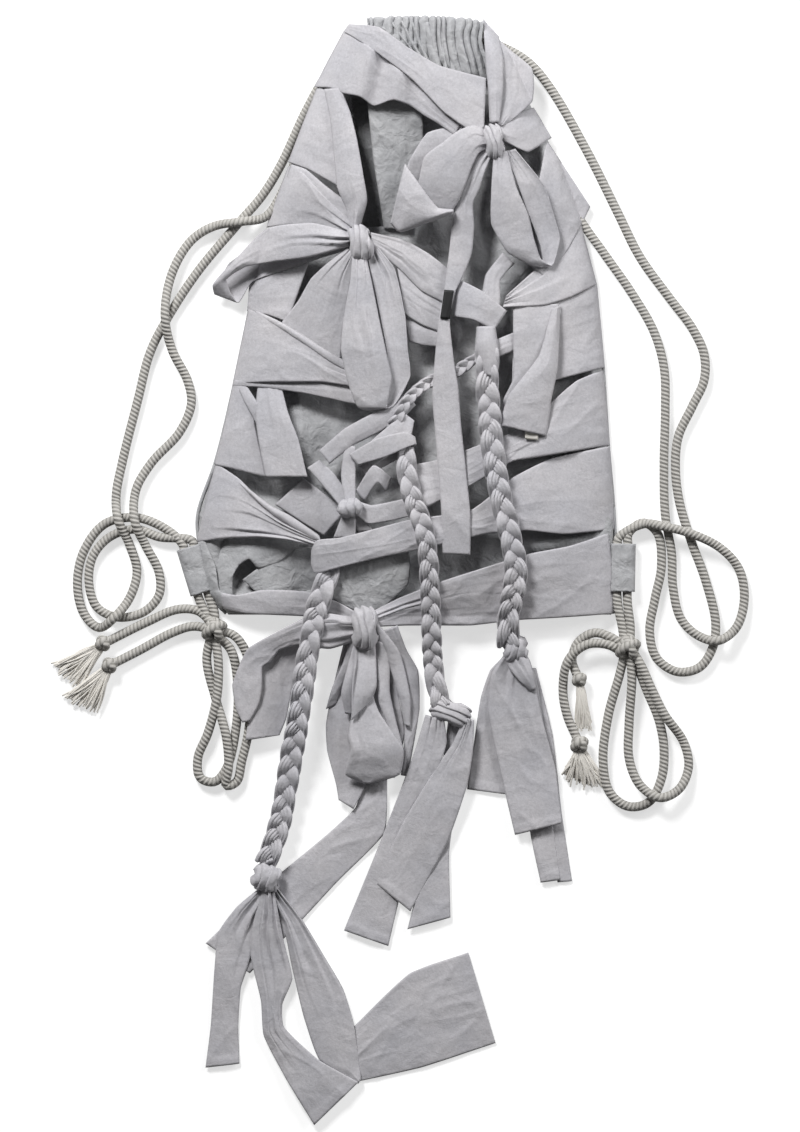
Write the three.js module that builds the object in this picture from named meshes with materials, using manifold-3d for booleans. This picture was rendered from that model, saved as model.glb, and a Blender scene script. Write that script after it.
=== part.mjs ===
// A drawstring gym sack lying on its back, with the mouth drawn shut. Strips of cloth are sewn into
// its side seams and tied over the front in bows, a knot and three plaits.
// Millimetres. +X is to the right of the front, +Y towards the mouth, +Z up from the surface it lies on.
// The origin is in the middle of the back panel, on that surface.
import * as THREE from "three";
import { mergeVertices } from "three/addons/utils/BufferGeometryUtils.js";
import Module from "manifold-3d";

// Driving dimensions.
const SACK_WIDTH = 320; // side seam to side seam at the hem
const SACK_HEIGHT = 460; // hem to the top of the drawn mouth
const SACK_SIDE = 10; // height of the side walls
const SACK_CROWN = 16; // how far the front panel rises above the side walls
const HEM_RUN = 90; // length over which the crown rises from the hem
const PANEL_WALL = 1.5;
const STRIP_THICKNESS = 1.4;
const STRIP_GAP = 0.6; // between two strips that lie on each other
const SEAT_GAP = 0.7; // between a strip and the panel or floor under it
const SEWN_GAP = 0.3; // between two pieces that are sewn together
const CORD_DIAMETER = 7;
const CORD_GAP = 0.8; // around a cord in its tunnel or tab
const TUNNEL_WALL = 1; // of the drawcord channel and the corner tabs
const CHANNEL_DEPTH = 24; // of the gathered channel, from its sewn edge to the mouth
const MOUTH_SLOT = 8; // between the front and back channels
const TAB_LENGTH = 37;
const PLAIT_THICKNESS = 12;
const PLAIT_BITE = 12; // length of one crossing along a plait
const LABEL_THICKNESS = 1;
const CORD_SIDES = 8;
const CORD_STEP = 18; // length of one facet along a cord
const CLOTH_STEP = 18; // size of one facet of cloth over the sack
const FLOOR_STEP = 32; // and of cloth lying flat on the floor

// The plan is drawn on a grid, whose cell is 1 mm square on a sack of 320 by 460.
const PLAN_COLUMNS = 320;
const PLAN_ROWS = 460;
const across = (column) => (column * SACK_WIDTH) / PLAN_COLUMNS;
const along = (row) => (row * SACK_HEIGHT) / PLAN_ROWS;
const plan = ([column, row]) => [across(column), along(row)];

// Side seams in plan, from the hem to the channel.
const LEFT_SEAM = [
  [-128, -228], [-147, -208], [-158, -172], [-146, -110], [-131, -50], [-119, 8],
  [-98, 72], [-78, 122], [-52, 180], [-40, 205],
].map(plan);
const RIGHT_SEAM = [
  [158, -228], [159, -172], [156, -100], [150, -36], [143, 28], [127, 75], [91, 140],
  [66, 190], [58, 205],
].map(plan);
const HEM_Y = LEFT_SEAM[0][1];
const NECK_Y = LEFT_SEAM.at(-1)[1];
const FALL_RUN = along(40); // length over which cloth falls from the hem to the floor

const wasm = await Module();
wasm.setup();

// Materials.
const cloth = (color) => new THREE.MeshStandardMaterial({ color, roughness: 0.9, metalness: 0 });
const STRIP_CLOTH = cloth(0xbdbabd);
const SACK_CLOTH = cloth(0xa4a4a6);
const CORD_COTTON = cloth(0xa39c92);
const LABEL_BLACK = cloth(0x141414);

const sack = new THREE.Group();
function add(name, geometry, material) {
  const mesh = new THREE.Mesh(geometry, material);
  mesh.name = name;
  sack.add(mesh);
}

// Closed meshes to solids and back, for joins and cuts.
function solid(geometry) {
  const bare = geometry.clone();
  bare.deleteAttribute("normal");
  bare.deleteAttribute("uv");
  const merged = mergeVertices(bare, 1e-3);
  const triVerts = new Uint32Array(merged.index.array);
  const vertProperties = merged.attributes.position.array;
  return new wasm.Manifold(new wasm.Mesh({ numProp: 3, vertProperties, triVerts }));
}
function geometryOf(manifold) {
  const { vertProperties, triVerts } = manifold.getMesh();
  const geometry = new THREE.BufferGeometry();
  geometry.setAttribute("position", new THREE.BufferAttribute(vertProperties, 3));
  return geometry.setIndex(new THREE.BufferAttribute(triVerts, 1));
}
const fuse = (...geometries) => geometryOf(geometries.map(solid).reduce((a, b) => a.add(b)));

// Height of the sack's front at any place in plan, and of the floor beyond its hem.
function seamAt(seam, y) {
  const last = seam.findIndex((point) => point[1] >= y);
  if (last === -1) return seam.at(-1)[0];
  if (last === 0) return seam[0][0];
  const [x0, y0] = seam[last - 1];
  const [x1, y1] = seam[last];
  return THREE.MathUtils.mapLinear(y, y0, y1, x0, x1);
}
function crownAt(y) {
  const rise = THREE.MathUtils.clamp((y - HEM_Y) / HEM_RUN, 0, 1);
  return SACK_CROWN * (1 - (1 - rise) ** 2);
}
function frontHeight(x, y) {
  const left = seamAt(LEFT_SEAM, y);
  const right = seamAt(RIGHT_SEAM, y);
  const share = THREE.MathUtils.clamp((2 * x - left - right) / (right - left), -1, 1);
  return SACK_SIDE + crownAt(y) * (1 - share ** 2);
}
function groundHeight(x, y) {
  const fallen = THREE.MathUtils.smoothstep(HEM_Y - y, 0, FALL_RUN);
  return frontHeight(x, Math.max(y, HEM_Y)) * (1 - fallen);
}
// The underside of cloth lying in a layer over the sack or the floor.
const drape = (x, y, layer) => groundHeight(x, y) + SEAT_GAP + layer * (STRIP_THICKNESS + STRIP_GAP);

// A closed solid from rings of points, with a flat cap at each end.
function loft(rings) {
  const count = rings[0].length;
  const index = [];
  for (let i = 0; i + 1 < rings.length; i++) {
    for (let j = 0; j < count; j++) {
      const [a, b] = [i * count + j, i * count + ((j + 1) % count)];
      index.push(a, b, a + count, b, b + count, a + count);
    }
  }
  const end = (rings.length - 1) * count;
  for (let j = 1; j + 1 < count; j++) {
    index.push(0, j + 1, j, end, end + j, end + j + 1);
  }
  const geometry = new THREE.BufferGeometry();
  geometry.setAttribute("position", new THREE.Float32BufferAttribute(rings.flat(2), 3));
  geometry.setIndex(index);
  return solid(geometry).volume() < 0 ? flipped(geometry) : geometry;
}
function flipped(geometry) {
  const index = geometry.index.array;
  for (let i = 0; i < index.length; i += 3) [index[i], index[i + 1]] = [index[i + 1], index[i]];
  return geometry;
}

// A strip of cloth between two edges drawn in plan, each with as many points as there are layers.
// Its puff is how far a loop of cloth stands up between its edges.
function strip({ edges, layers, puff = 0, thickness = STRIP_THICKNESS, step = CLOTH_STEP }) {
  const [one, other] = edges.map((edge) => {
    const points = edge.map((point, i) => new THREE.Vector3(...plan(point), layers[i]));
    return new THREE.CatmullRomCurve3(points, false, "centripetal");
  });
  const steps = Math.max(3, Math.ceil(Math.max(one.getLength(), other.getLength()) / step));
  const widest = Math.max(...[0, 0.5, 1].map((t) => one.getPoint(t).distanceTo(other.getPoint(t))));
  const wide = Math.max(2, Math.ceil(widest / step));
  const rings = [];
  for (let i = 0; i <= steps; i++) {
    const [from, to] = [one.getPoint(i / steps), other.getPoint(i / steps)];
    const under = [];
    const over = [];
    for (let j = 0; j <= wide; j++) {
      const { x, y, z: layer } = from.clone().lerp(to, j / wide);
      const z = drape(x, y, layer);
      const swell = puff * Math.sin((Math.PI * i) / steps) * Math.sin((Math.PI * j) / wide);
      under.push([x, y, z]);
      over.unshift([x, y, z + thickness + swell]);
    }
    rings.push([...under, ...over]);
  }
  return loft(rings);
}

// The lump of a knot pulled tight, resting in a layer, with radii along X, Y and Z.
function knot([column, row], [rx, ry, rz], layer) {
  const [x, y] = plan([column, row]);
  const lump = new THREE.SphereGeometry(1, 10, 7);
  return lump.scale(rx, ry, rz).translate(x, y, drape(x, y, layer) + rz);
}

// A plait of three strips: its two sides bulge in turn where a strip comes round.
function plait(points, layers, width) {
  const middle = new THREE.CatmullRomCurve3(
    points.map((point, i) => new THREE.Vector3(...plan(point), layers[i])), false, "centripetal");
  const bites = Math.round(middle.getLength() / PLAIT_BITE);
  const perBite = 2;
  const sides = 8;
  const rings = [];
  for (let i = 0; i <= bites * perBite; i++) {
    const t = i / (bites * perBite);
    const { x, y, z: layer } = middle.getPointAt(t);
    const ahead = middle.getTangentAt(t).setZ(0).normalize();
    const z = drape(x, y, layer) + PLAIT_THICKNESS / 2;
    const swing = Math.sin((Math.PI * i) / perBite);
    const ring = [];
    for (let j = 0; j < sides; j++) {
      const turn = (2 * Math.PI * (j + 0.5)) / sides;
      const out = Math.cos(turn);
      const reach = (width / 2) * (0.9 + 0.1 * Math.sign(out) * swing) * out;
      ring.push([x - ahead.y * reach, y + ahead.x * reach, z + (PLAIT_THICKNESS / 2) * Math.sin(turn)]);
    }
    rings.push(ring);
  }
  return loft(rings);
}

// A round cord through points that each give a place in plan and a height.
function cord(points) {
  const route = new THREE.CatmullRomCurve3(
    points.map(([column, row]) => new THREE.Vector3(...plan([column, row]), 0)), false, "centripetal");
  const parts = 4;
  const spans = points.length - 1;
  const path = new THREE.CatmullRomCurve3(Array.from({ length: spans * parts + 1 }, (_, i) => {
    const from = Math.min(Math.floor(i / parts), spans - 1);
    const share = THREE.MathUtils.smoothstep(i / parts - from, 0, 1);
    return route.getPoint(i / (spans * parts)).setZ(THREE.MathUtils.lerp(points[from][2], points[from + 1][2], share));
  }));
  const section = new THREE.Shape();
  for (let i = 0; i < CORD_SIDES; i++) {
    const turn = (2 * Math.PI * (i + 0.5)) / CORD_SIDES;
    const radius = CORD_DIAMETER / 2;
    section[i ? "lineTo" : "moveTo"](radius * Math.cos(turn), radius * Math.sin(turn));
  }
  const steps = Math.ceil(path.getLength() / CORD_STEP);
  return new THREE.ExtrudeGeometry(section, { steps, extrudePath: path, bevelEnabled: false });
}

// Sack: the back panel is flat, and the front panel is a tray turned over it.
function outlineAt(y, inset) {
  return [seamAt(LEFT_SEAM, y) + inset, seamAt(RIGHT_SEAM, y) - inset];
}
function stations(from, to) {
  const count = Math.ceil(HEM_RUN / CLOTH_STEP);
  const hem = Array.from({ length: count + 1 }, (_, i) => from + (HEM_RUN * i) / count);
  const seamRows = [...LEFT_SEAM, ...RIGHT_SEAM].map((point) => point[1]);
  const rows = [...hem, ...seamRows, to].filter((y) => y >= from && y <= to).sort((a, b) => a - b);
  return rows.filter((y, i) => i === 0 || y - rows[i - 1] > 0.5);
}
function backPanel() {
  const outline = new THREE.Shape();
  LEFT_SEAM.forEach(([x, y], i) => outline[i ? "lineTo" : "moveTo"](x, y));
  RIGHT_SEAM.toReversed().forEach(([x, y]) => outline.lineTo(x, y));
  return new THREE.ExtrudeGeometry(outline, { depth: PANEL_WALL, bevelEnabled: false });
}
function trayForm(inset, from, to) {
  const columns = 8;
  const floor = PANEL_WALL + SEWN_GAP;
  return loft(stations(from, to).map((y) => {
    const [left, right] = outlineAt(y, inset);
    const ring = [[right, y, floor - inset], [left, y, floor - inset]];
    for (let j = 0; j <= columns; j++) {
      const x = THREE.MathUtils.lerp(left, right, j / columns);
      ring.push([x, y, frontHeight(x, y) - inset]);
    }
    return ring;
  }));
}
function frontPanel() {
  const hollow = trayForm(PANEL_WALL, HEM_Y + PANEL_WALL, NECK_Y + PANEL_WALL);
  return geometryOf(solid(trayForm(0, HEM_Y, NECK_Y)).subtract(solid(hollow)));
}
add("back_panel", backPanel(), SACK_CLOTH);
add("front_panel", frontPanel(), SACK_CLOTH);

// Drawcord channel: a flat tunnel along each side of the mouth, wide enough for both cords.
const TUNNEL_HEIGHT = CORD_DIAMETER + 2 * CORD_GAP;
const TUNNEL_WIDTH = 2 * CORD_DIAMETER + 3 * CORD_GAP;
const CHANNEL_HEIGHT = TUNNEL_HEIGHT + 2 * TUNNEL_WALL;
const CHANNEL_Y = NECK_Y + SEWN_GAP + CHANNEL_DEPTH / 2;
const [CHANNEL_LEFT] = plan([-14, 0]);
const [CHANNEL_RIGHT] = plan([42, 0]);
const BACK_CORD_Z = CHANNEL_HEIGHT / 2;
const FRONT_CORD_Z = CHANNEL_HEIGHT + MOUTH_SLOT + CHANNEL_HEIGHT / 2;

function sleeve(width, height, holeWidth, holeHeight, length) {
  const round = TUNNEL_WALL;
  const frame = roundedRectangle(new THREE.Shape(), width, height, round);
  frame.holes.push(roundedRectangle(new THREE.Path(), holeWidth, holeHeight, round));
  const geometry = new THREE.ExtrudeGeometry(frame, { depth: length, bevelEnabled: false, curveSegments: 2 });
  return geometry.translate(0, 0, -length / 2);
}
function roundedRectangle(path, width, height, radius) {
  const [w, h] = [width / 2, height / 2];
  path.moveTo(-w + radius, -h);
  path.absarc(w - radius, -h + radius, radius, -Math.PI / 2, 0);
  path.absarc(w - radius, h - radius, radius, 0, Math.PI / 2);
  path.absarc(-w + radius, h - radius, radius, Math.PI / 2, Math.PI);
  path.absarc(-w + radius, -h + radius, radius, Math.PI, 1.5 * Math.PI);
  return path;
}
function channel(z) {
  const tunnel = sleeve(CHANNEL_HEIGHT, CHANNEL_DEPTH, TUNNEL_HEIGHT, TUNNEL_WIDTH, CHANNEL_RIGHT - CHANNEL_LEFT);
  return tunnel.rotateY(Math.PI / 2).translate((CHANNEL_LEFT + CHANNEL_RIGHT) / 2, CHANNEL_Y, z);
}
add("back_channel", channel(BACK_CORD_Z), SACK_CLOTH);
add("front_channel", channel(FRONT_CORD_Z), SACK_CLOTH);

// Corner tabs: a flat sleeve sewn along each side seam, for the two runs of a cord.
const TAB_WIDTH = TUNNEL_WIDTH + 2 * TUNNEL_WALL;
const TAB_HEIGHT = TUNNEL_HEIGHT + 2 * TUNNEL_WALL;
const CORD_PITCH = CORD_DIAMETER + CORD_GAP; // between the two runs in a tab or channel
const TAB_CORD_Z = TAB_HEIGHT / 2;
const TABS = {
  left: tabBeside(LEFT_SEAM[2], LEFT_SEAM[1], -1),
  right: tabBeside(RIGHT_SEAM[1], RIGHT_SEAM[0], 1),
};
// A tab runs down its seam from the first point towards the second, outside the seam.
function tabBeside([x0, y0], [x1, y1], side) {
  const down = new THREE.Vector2(x1 - x0, y1 - y0).normalize();
  const out = new THREE.Vector2(-down.y * side, down.x * side);
  const top = new THREE.Vector2(x0, y0).addScaledVector(out, TAB_WIDTH / 2 + SEWN_GAP);
  return { top, down, out };
}
function tab({ top, down }) {
  const tunnel = sleeve(TAB_WIDTH, TAB_HEIGHT, TUNNEL_WIDTH, TUNNEL_HEIGHT, TAB_LENGTH);
  const centre = top.clone().addScaledVector(down, TAB_LENGTH / 2);
  const turn = Math.atan2(down.y, down.x) + Math.PI / 2;
  return tunnel.rotateX(Math.PI / 2).rotateZ(turn).translate(centre.x, centre.y, TAB_CORD_Z);
}
add("left_corner_tab", tab(TABS.left), SACK_CLOTH);
add("right_corner_tab", tab(TABS.right), SACK_CLOTH);

// Strips sewn into the side seams, and those that cross the front between the ties.
const SEWN_STRIPS = {
  collar_strip: {
    edges: [[[-45, 227], [-5, 213], [30, 192], [61, 184]], [[-42, 218], [-13, 193], [16, 175], [55, 149]]],
    layers: [5, 5, 2, 0],
  },
  left_neck_strip: {
    edges: [[[-46, 217], [-17, 191], [12, 172], [38, 148]], [[-69, 180], [-38, 170], [-5, 165], [35, 143]]],
    layers: [0, 0, 0, 0],
  },
  left_shoulder_strip: {
    edges: [[[-67, 177], [-46, 156], [-36, 126], [-33, 88]], [[-91, 124], [-76, 116], [-58, 104], [-44, 86]]],
    layers: [0, 0, 0, 0],
  },
  left_chest_strip: {
    edges: [[[-91, 119], [-70, 101], [-48, 78]], [[-107, 74], [-80, 73], [-50, 66]]],
    layers: [0, 0, 0],
  },
  left_waist_strip: {
    edges: [[[-121, 30], [-100, 36], [-80, 41]], [[-123, 11], [-110, 7], [-97, 3]]],
    layers: [0, 0, 0],
  },
  left_fan_strip: {
    edges: [[[-48, 52], [-73, 37], [-93, 2]], [[-38, 46], [-46, 10], [-51, -26]]],
    layers: [0, 0, 0],
  },
  left_hip_strip: {
    edges: [[[-122, 8], [-95, -4], [-52, -33]], [[-134, -49], [-100, -50], [-42, -62]]],
    layers: [0, 0, 0],
  },
  left_flank_strip: {
    edges: [[[-135, -53], [-141, -85], [-147, -109]], [[-131, -53], [-117, -85], [-110, -119]]],
    layers: [0, 0, 0],
  },
  left_gathered_strip: {
    edges: [[[-147, -112], [-110, -146], [-73, -167]], [[-160, -171], [-110, -167], [-73, -173]]],
    layers: [0, 0, 0],
  },
  left_hem_strip: {
    edges: [[[-146, -209], [-110, -209], [-62, -212]], [[-130, -226], [-108, -226], [-62, -226]]],
    layers: [0, 0, 0],
  },
  upper_cross_strip: {
    edges: [[[-12, 62], [14, 49], [30, 40]], [[-20, 54], [8, 32], [27, 16]]],
    layers: [0, 0, 0],
  },
  lower_cross_strip: {
    edges: [[[2, 34], [12, 24], [25, 14]], [[2, -13], [12, -16], [25, -19]]],
    layers: [0, 0, 0],
  },
  twisted_strip: {
    edges: [
      [[-66, -100], [-30, -74], [0, -55], [30, -32], [56, -18], [80, -8]],
      [[-58, -110], [-24, -87], [6, -69], [33, -46], [58, -31], [80, -20]],
    ],
    layers: [0, 0, 0, 0, 0, 0],
  },
  braid_cover_strip: {
    edges: [[[47, 29], [60, 21], [76, 9]], [[41, 1], [55, -5], [67, -11]]],
    layers: [1, 1.2, 1],
  },
  braid_lead_strip: {
    edges: [[[74, 46], [62, 24], [57, -4]], [[86, 40], [77, 20], [71, -3]]],
    layers: [0, 0, 0],
  },
  right_neck_strip: {
    edges: [[[66, 222], [65, 190], [66, 152]], [[77, 210], [100, 190], [96, 163]]],
    layers: [6, 0.5, 0],
  },
  right_shoulder_strip: {
    edges: [[[97, 161], [86, 155], [72, 149]], [[112, 141], [94, 130], [78, 134]]],
    layers: [0, 0, 0],
  },
  right_chest_strip: {
    edges: [[[112, 138], [104, 110], [86, 52]], [[143, 88], [135, 78], [92, 38]]],
    layers: [0, 0, 0],
  },
  right_waist_strip: {
    edges: [[[135, 74], [112, 53], [90, 33]], [[149, 30], [118, 13], [80, 11]]],
    layers: [0, 0, 0],
  },
  right_hip_strip: {
    edges: [[[149, 27], [118, 9], [84, 8]], [[153, -36], [115, -46], [84, -46]]],
    layers: [0, 0, 0],
  },
  right_flank_strip: {
    edges: [
      [[153, -39], [112, -64], [78, -95], [50, -101], [10, -112]],
      [[158, -94], [120, -102], [84, -107], [54, -128], [14, -146]],
    ],
    layers: [0, 0, 0, 0, 0],
  },
  waist_strap: {
    edges: [
      [[158, -98], [112, -112], [78, -132], [30, -148], [-20, -160], [-68, -175]],
      [[161, -161], [125, -165], [84, -160], [35, -168], [-20, -182], [-70, -193]],
    ],
    layers: [0, 0, 0, 0, 0, 1],
  },
  right_hem_strip: {
    edges: [[[161, -164], [100, -179], [30, -200], [-20, -223]], [[160, -226], [100, -227], [40, -227], [-20, -231]]],
    layers: [0, 0, 0, 0],
  },
};
for (const [name, drawn] of Object.entries(SEWN_STRIPS)) add(name, strip(drawn), STRIP_CLOTH);

// Two tails that hang from under the strips above them.
add("left_hanging_tail", strip({
  edges: [[[-113, -54], [-111, -90], [-106, -120]], [[-97, -54], [-86, -85], [-75, -120]]],
  layers: [0, 0, 0],
}), STRIP_CLOTH);
add("right_hanging_tail", strip({
  edges: [[[86, 6], [84, -40], [79, -84]], [[115, 8], [113, -40], [108, -87]]],
  layers: [1, 1, 1],
}), STRIP_CLOTH);

// Bows: the loops and the knot of each are one tied strip.
add("upper_bow", fuse(
  strip({
    edges: [[[66, 143], [40, 148], [14, 136], [-1, 118], [-9, 88]], [[64, 132], [46, 117], [36, 92], [24, 80], [-6, 68]]],
    layers: [4, 2, 1, 1, 1],
    puff: 9,
  }),
  strip({
    edges: [[[68, 132], [66, 105], [67, 75], [81, 48]], [[76, 134], [100, 108], [118, 66], [112, 42]]],
    layers: [4, 1, 1, 1],
    puff: 9,
  }),
  knot([68, 137], [8, 13, 8], 1.5),
), STRIP_CLOTH);
add("left_bow", fuse(
  strip({
    edges: [[[-36, 62], [-70, 67], [-108, 69], [-148, 26]], [[-36, 52], [-62, 46], [-100, 38], [-126, 13]]],
    layers: [3.5, 1, 1, 1],
    puff: 9,
  }),
  strip({
    edges: [[[-42, 54], [-46, 20], [-50, -20], [-33, -68]], [[-26, 54], [-5, 24], [1, -20], [-4, -62]]],
    layers: [3.5, 1, 1, 1],
    puff: 9,
  }),
  knot([-36, 58], [10, 13, 8], 1),
), STRIP_CLOTH);
add("small_knot", fuse(
  strip({
    edges: [[[-47, -146], [-51, -112], [-28, -92], [6, -84]], [[-37, -146], [-36, -113], [-12, -105], [6, -97]]],
    layers: [3.5, 1, 1, 1],
    puff: 6,
  }),
  strip({
    edges: [[[-42, -141], [-22, -137], [-4, -130]], [[-42, -151], [-22, -154], [-4, -147]]],
    layers: [3.5, 1, 1],
    puff: 3,
  }),
  knot([-42, -146], [9, 8, 7], 1),
), STRIP_CLOTH);
add("bottom_bow", fuse(
  strip({
    edges: [[[-36, -232], [-62, -230], [-100, -244], [-129, -266]], [[-36, -244], [-62, -262], [-98, -316], [-124, -322]]],
    layers: [4, 3.4, 4.8, 5.2],
    puff: 3,
  }),
  strip({
    edges: [[[-39, -240], [-48, -290], [-48, -320], [-46, -351]], [[-25, -240], [-6, -290], [-2, -320], [-6, -351]]],
    layers: [4, 2, 1, 1],
    puff: 7,
  }),
  strip({
    edges: [[[-30, -242], [-1, -280], [3, -320], [2, -351]], [[-28, -232], [8, -262], [11, -290], [7, -350]]],
    layers: [4, 2, 1, 1],
  }),
  knot([-32, -238], [10, 14, 8], 1),
), STRIP_CLOTH);
add("bottom_bow_tail", strip({
  edges: [
    [[-54, -268], [-62, -310], [-48, -368], [-58, -396], [-100, -432], [-154, -481]],
    [[-40, -268], [-30, -310], [-14, -372], [-16, -394], [-77, -460], [-120, -504]],
  ],
  layers: [0, 0, 0, 0, 0, 0],
  step: FLOOR_STEP,
}), STRIP_CLOTH);

// The long tail of the upper bow, with a woven label sewn to it.
add("label_tail", strip({
  edges: [
    [[53, 121], [44, 90], [33, 40], [28, 15], [24, -20], [23, -70], [26, -125], [29, -180]],
    [[62, 120], [53, 85], [43, 40], [37, 15], [35, -10], [41, -60], [47, -122], [50, -181]],
  ],
  layers: [2, 1, 1, 1, 1, 1, 1, 1],
}), STRIP_CLOTH);
add("woven_label", strip({
  edges: [[[29.5, 21], [28, 10], [27, 0]], [[37, 21], [35.5, 10], [34.5, -1]]],
  layers: [2, 2, 2],
  thickness: LABEL_THICKNESS,
}), LABEL_BLACK);

// Plaits, each ending in a knot, with the three tails of its strips below.
add("left_braid", fuse(
  plait(
    [[-60, -198], [-66, -215], [-72, -240], [-78, -275], [-82, -305], [-88, -345], [-97, -385], [-106, -424]],
    [1, 1.2, 5.6, 8, 7.4, 4, 2, 2], 18),
  knot([-107, -431], [10, 11, 6], 2),
), STRIP_CLOTH);
add("middle_braid", fuse(
  plait(
    [[0, -102], [3, -125], [9, -148], [16, -168], [18, -200], [21, -240], [24, -280], [30, -298]],
    [1, 1, 1, 1, 1, 1, 1, 2], 15),
  knot([36, -302], [13, 7, 6], 2),
), STRIP_CLOTH);
add("right_braid", fuse(
  plait(
    [[61, -14], [62, -50], [66, -95], [72, -130], [80, -165], [85, -195], [82, -225], [80, -248]],
    [1, 1, 1, 1, 1, 1, 1, 2], 18),
  knot([83, -252], [9, 8, 6], 2),
), STRIP_CLOTH);

const BRAID_TAILS = {
  left_braid_tail_outer: {
    edges: [[[-119, -443], [-146, -482], [-149, -525], [-154, -577]], [[-112, -444], [-124, -500], [-128, -525], [-128, -574]]],
    layers: [1, 1, 0, 0],
  },
  left_braid_tail_middle: {
    edges: [[[-110, -445], [-119, -492], [-108, -550], [-70, -620]], [[-103, -445], [-88, -500], [-94, -540], [-37, -588]]],
    layers: [2, 2, 2, 2],
  },
  left_braid_tail_inner: {
    edges: [
      [[-101, -444], [-84, -490], [-68, -570], [-36, -589], [20, -574], [70, -558]],
      [[-95, -440], [-62, -490], [-44, -538], [-38, -545], [0, -506], [48, -489]],
    ],
    layers: [1, 1, 1, 1, 0, 0],
  },
  middle_braid_tail_left: {
    edges: [[[24, -305.8], [5, -348], [-20, -405], [-47, -470]], [[30, -309], [20, -350], [2, -415], [-12, -483]]],
    layers: [5.2, 2.2, 1, 1],
  },
  middle_braid_tail_front: {
    edges: [[[33, -310.2], [21, -350], [4, -385], [-22, -434]], [[46, -308.4], [48, -350], [31, -402], [4, -456]]],
    layers: [5.2, 3.2, 2.1, 2.1],
  },
  middle_braid_tail_back: {
    edges: [[[26, -366], [14, -420], [2, -469]], [[42, -366], [32, -415], [35, -461]]],
    layers: [1.8, 0.3, 0],
  },
  right_braid_tail_back: {
    edges: [[[75, -256.8], [60, -300], [49, -361]], [[77, -258.6], [62, -302], [72, -365]]],
    layers: [5.4, 0.4, 0.1],
  },
  right_braid_tail_front: {
    edges: [[[79, -260.8], [65, -302], [74, -348], [84, -396]], [[88, -260.4], [96, -300], [107, -345], [122, -389]]],
    layers: [5.6, 1, 1, 1],
  },
  right_braid_tail_long: {
    edges: [[[92, -330], [97, -380], [106, -434]], [[111, -330], [118, -380], [128, -433]]],
    layers: [0, 0, 0],
  },
};
for (const [name, drawn] of Object.entries(BRAID_TAILS)) {
  add(name, strip({ ...drawn, step: FLOOR_STEP }), STRIP_CLOTH);
}

// Drawcords. Each starts in its tab, makes a slack loop beside the sack, climbs the side seam, runs
// through the front channel, turns into the back channel and comes down again to the same tab.
const LYING = CORD_DIAMETER / 2 + 0.5; // height of a cord's middle on the floor
const OVER = LYING + CORD_DIAMETER + CORD_GAP; // and where it passes over another
const inTab = ({ top, down, out }, run, depth) => {
  const place = top.clone().addScaledVector(down, depth).addScaledVector(out, (run * CORD_PITCH) / 2);
  return [(place.x * PLAN_COLUMNS) / SACK_WIDTH, (place.y * PLAN_ROWS) / SACK_HEIGHT, TAB_CORD_Z];
};
const UPPER_RUN = ((CHANNEL_Y + CORD_PITCH / 2) * PLAN_ROWS) / SACK_HEIGHT;
const LOWER_RUN = ((CHANNEL_Y - CORD_PITCH / 2) * PLAN_ROWS) / SACK_HEIGHT;
const MOUTH_Z = (FRONT_CORD_Z + BACK_CORD_Z) / 2;
const through = (row, z) => [-24, -20, 0, 28, 48, 52].map((column) => [column, row, z]);
const TAB_MEET = 3; // depth in a tab at which the cord meets its tied end
const LEFT_CORD = [
  inTab(TABS.left, 1, TAB_MEET), inTab(TABS.left, 1, -4),
  [-186, -160, LYING], [-208, -152, LYING], [-232, -157, LYING], [-248, -178, LYING], [-253, -203, LYING],
  [-248, -226, LYING], [-236, -237, 6], [-224, -229, OVER], [-212, -213, 6], [-207, -193, LYING],
  [-213, -172, 6], [-221, -154, OVER], [-223, -136, 6], [-218, -108, LYING], [-206, -60, LYING],
  [-197, -25, LYING], [-184, 1, LYING], [-160, 38, LYING], [-128, 76, LYING], [-110, 97, LYING],
  [-96, 120, LYING], [-76, 163, LYING], [-58, 195, LYING], [-45, 214, 5], [-34, UPPER_RUN, 13],
  ...through(UPPER_RUN, FRONT_CORD_Z), [58, UPPER_RUN, MOUTH_Z], ...through(UPPER_RUN, BACK_CORD_Z).reverse(),
  [-34, UPPER_RUN - 2, LYING], [-44, 207, LYING], [-57, 180, LYING], [-72, 152, LYING], [-86, 120, LYING], [-97, 95, LYING],
  [-108, 80, 6], [-126, 76, OVER], [-147, 73, 6], [-165, 62, LYING], [-180, 36, 6], [-185, 4, OVER],
  [-180, -22, 6], [-168, -46, LYING], [-165, -64, LYING], [-174, -86, LYING], [-196, -110, LYING],
  [-208, -132, 6], [-208, -156, OVER], [-200, -174, 6], [-190, -194, LYING], [-190, -212, LYING],
  [-202, -225, LYING], [-222, -229, LYING], [-238, -221, LYING], [-244, -203, LYING], [-241, -182, LYING],
  [-228, -167, LYING], [-208, -161, LYING], [-190, -167, LYING],
  inTab(TABS.left, -1, -4), inTab(TABS.left, -1, TAB_MEET),
];
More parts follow.
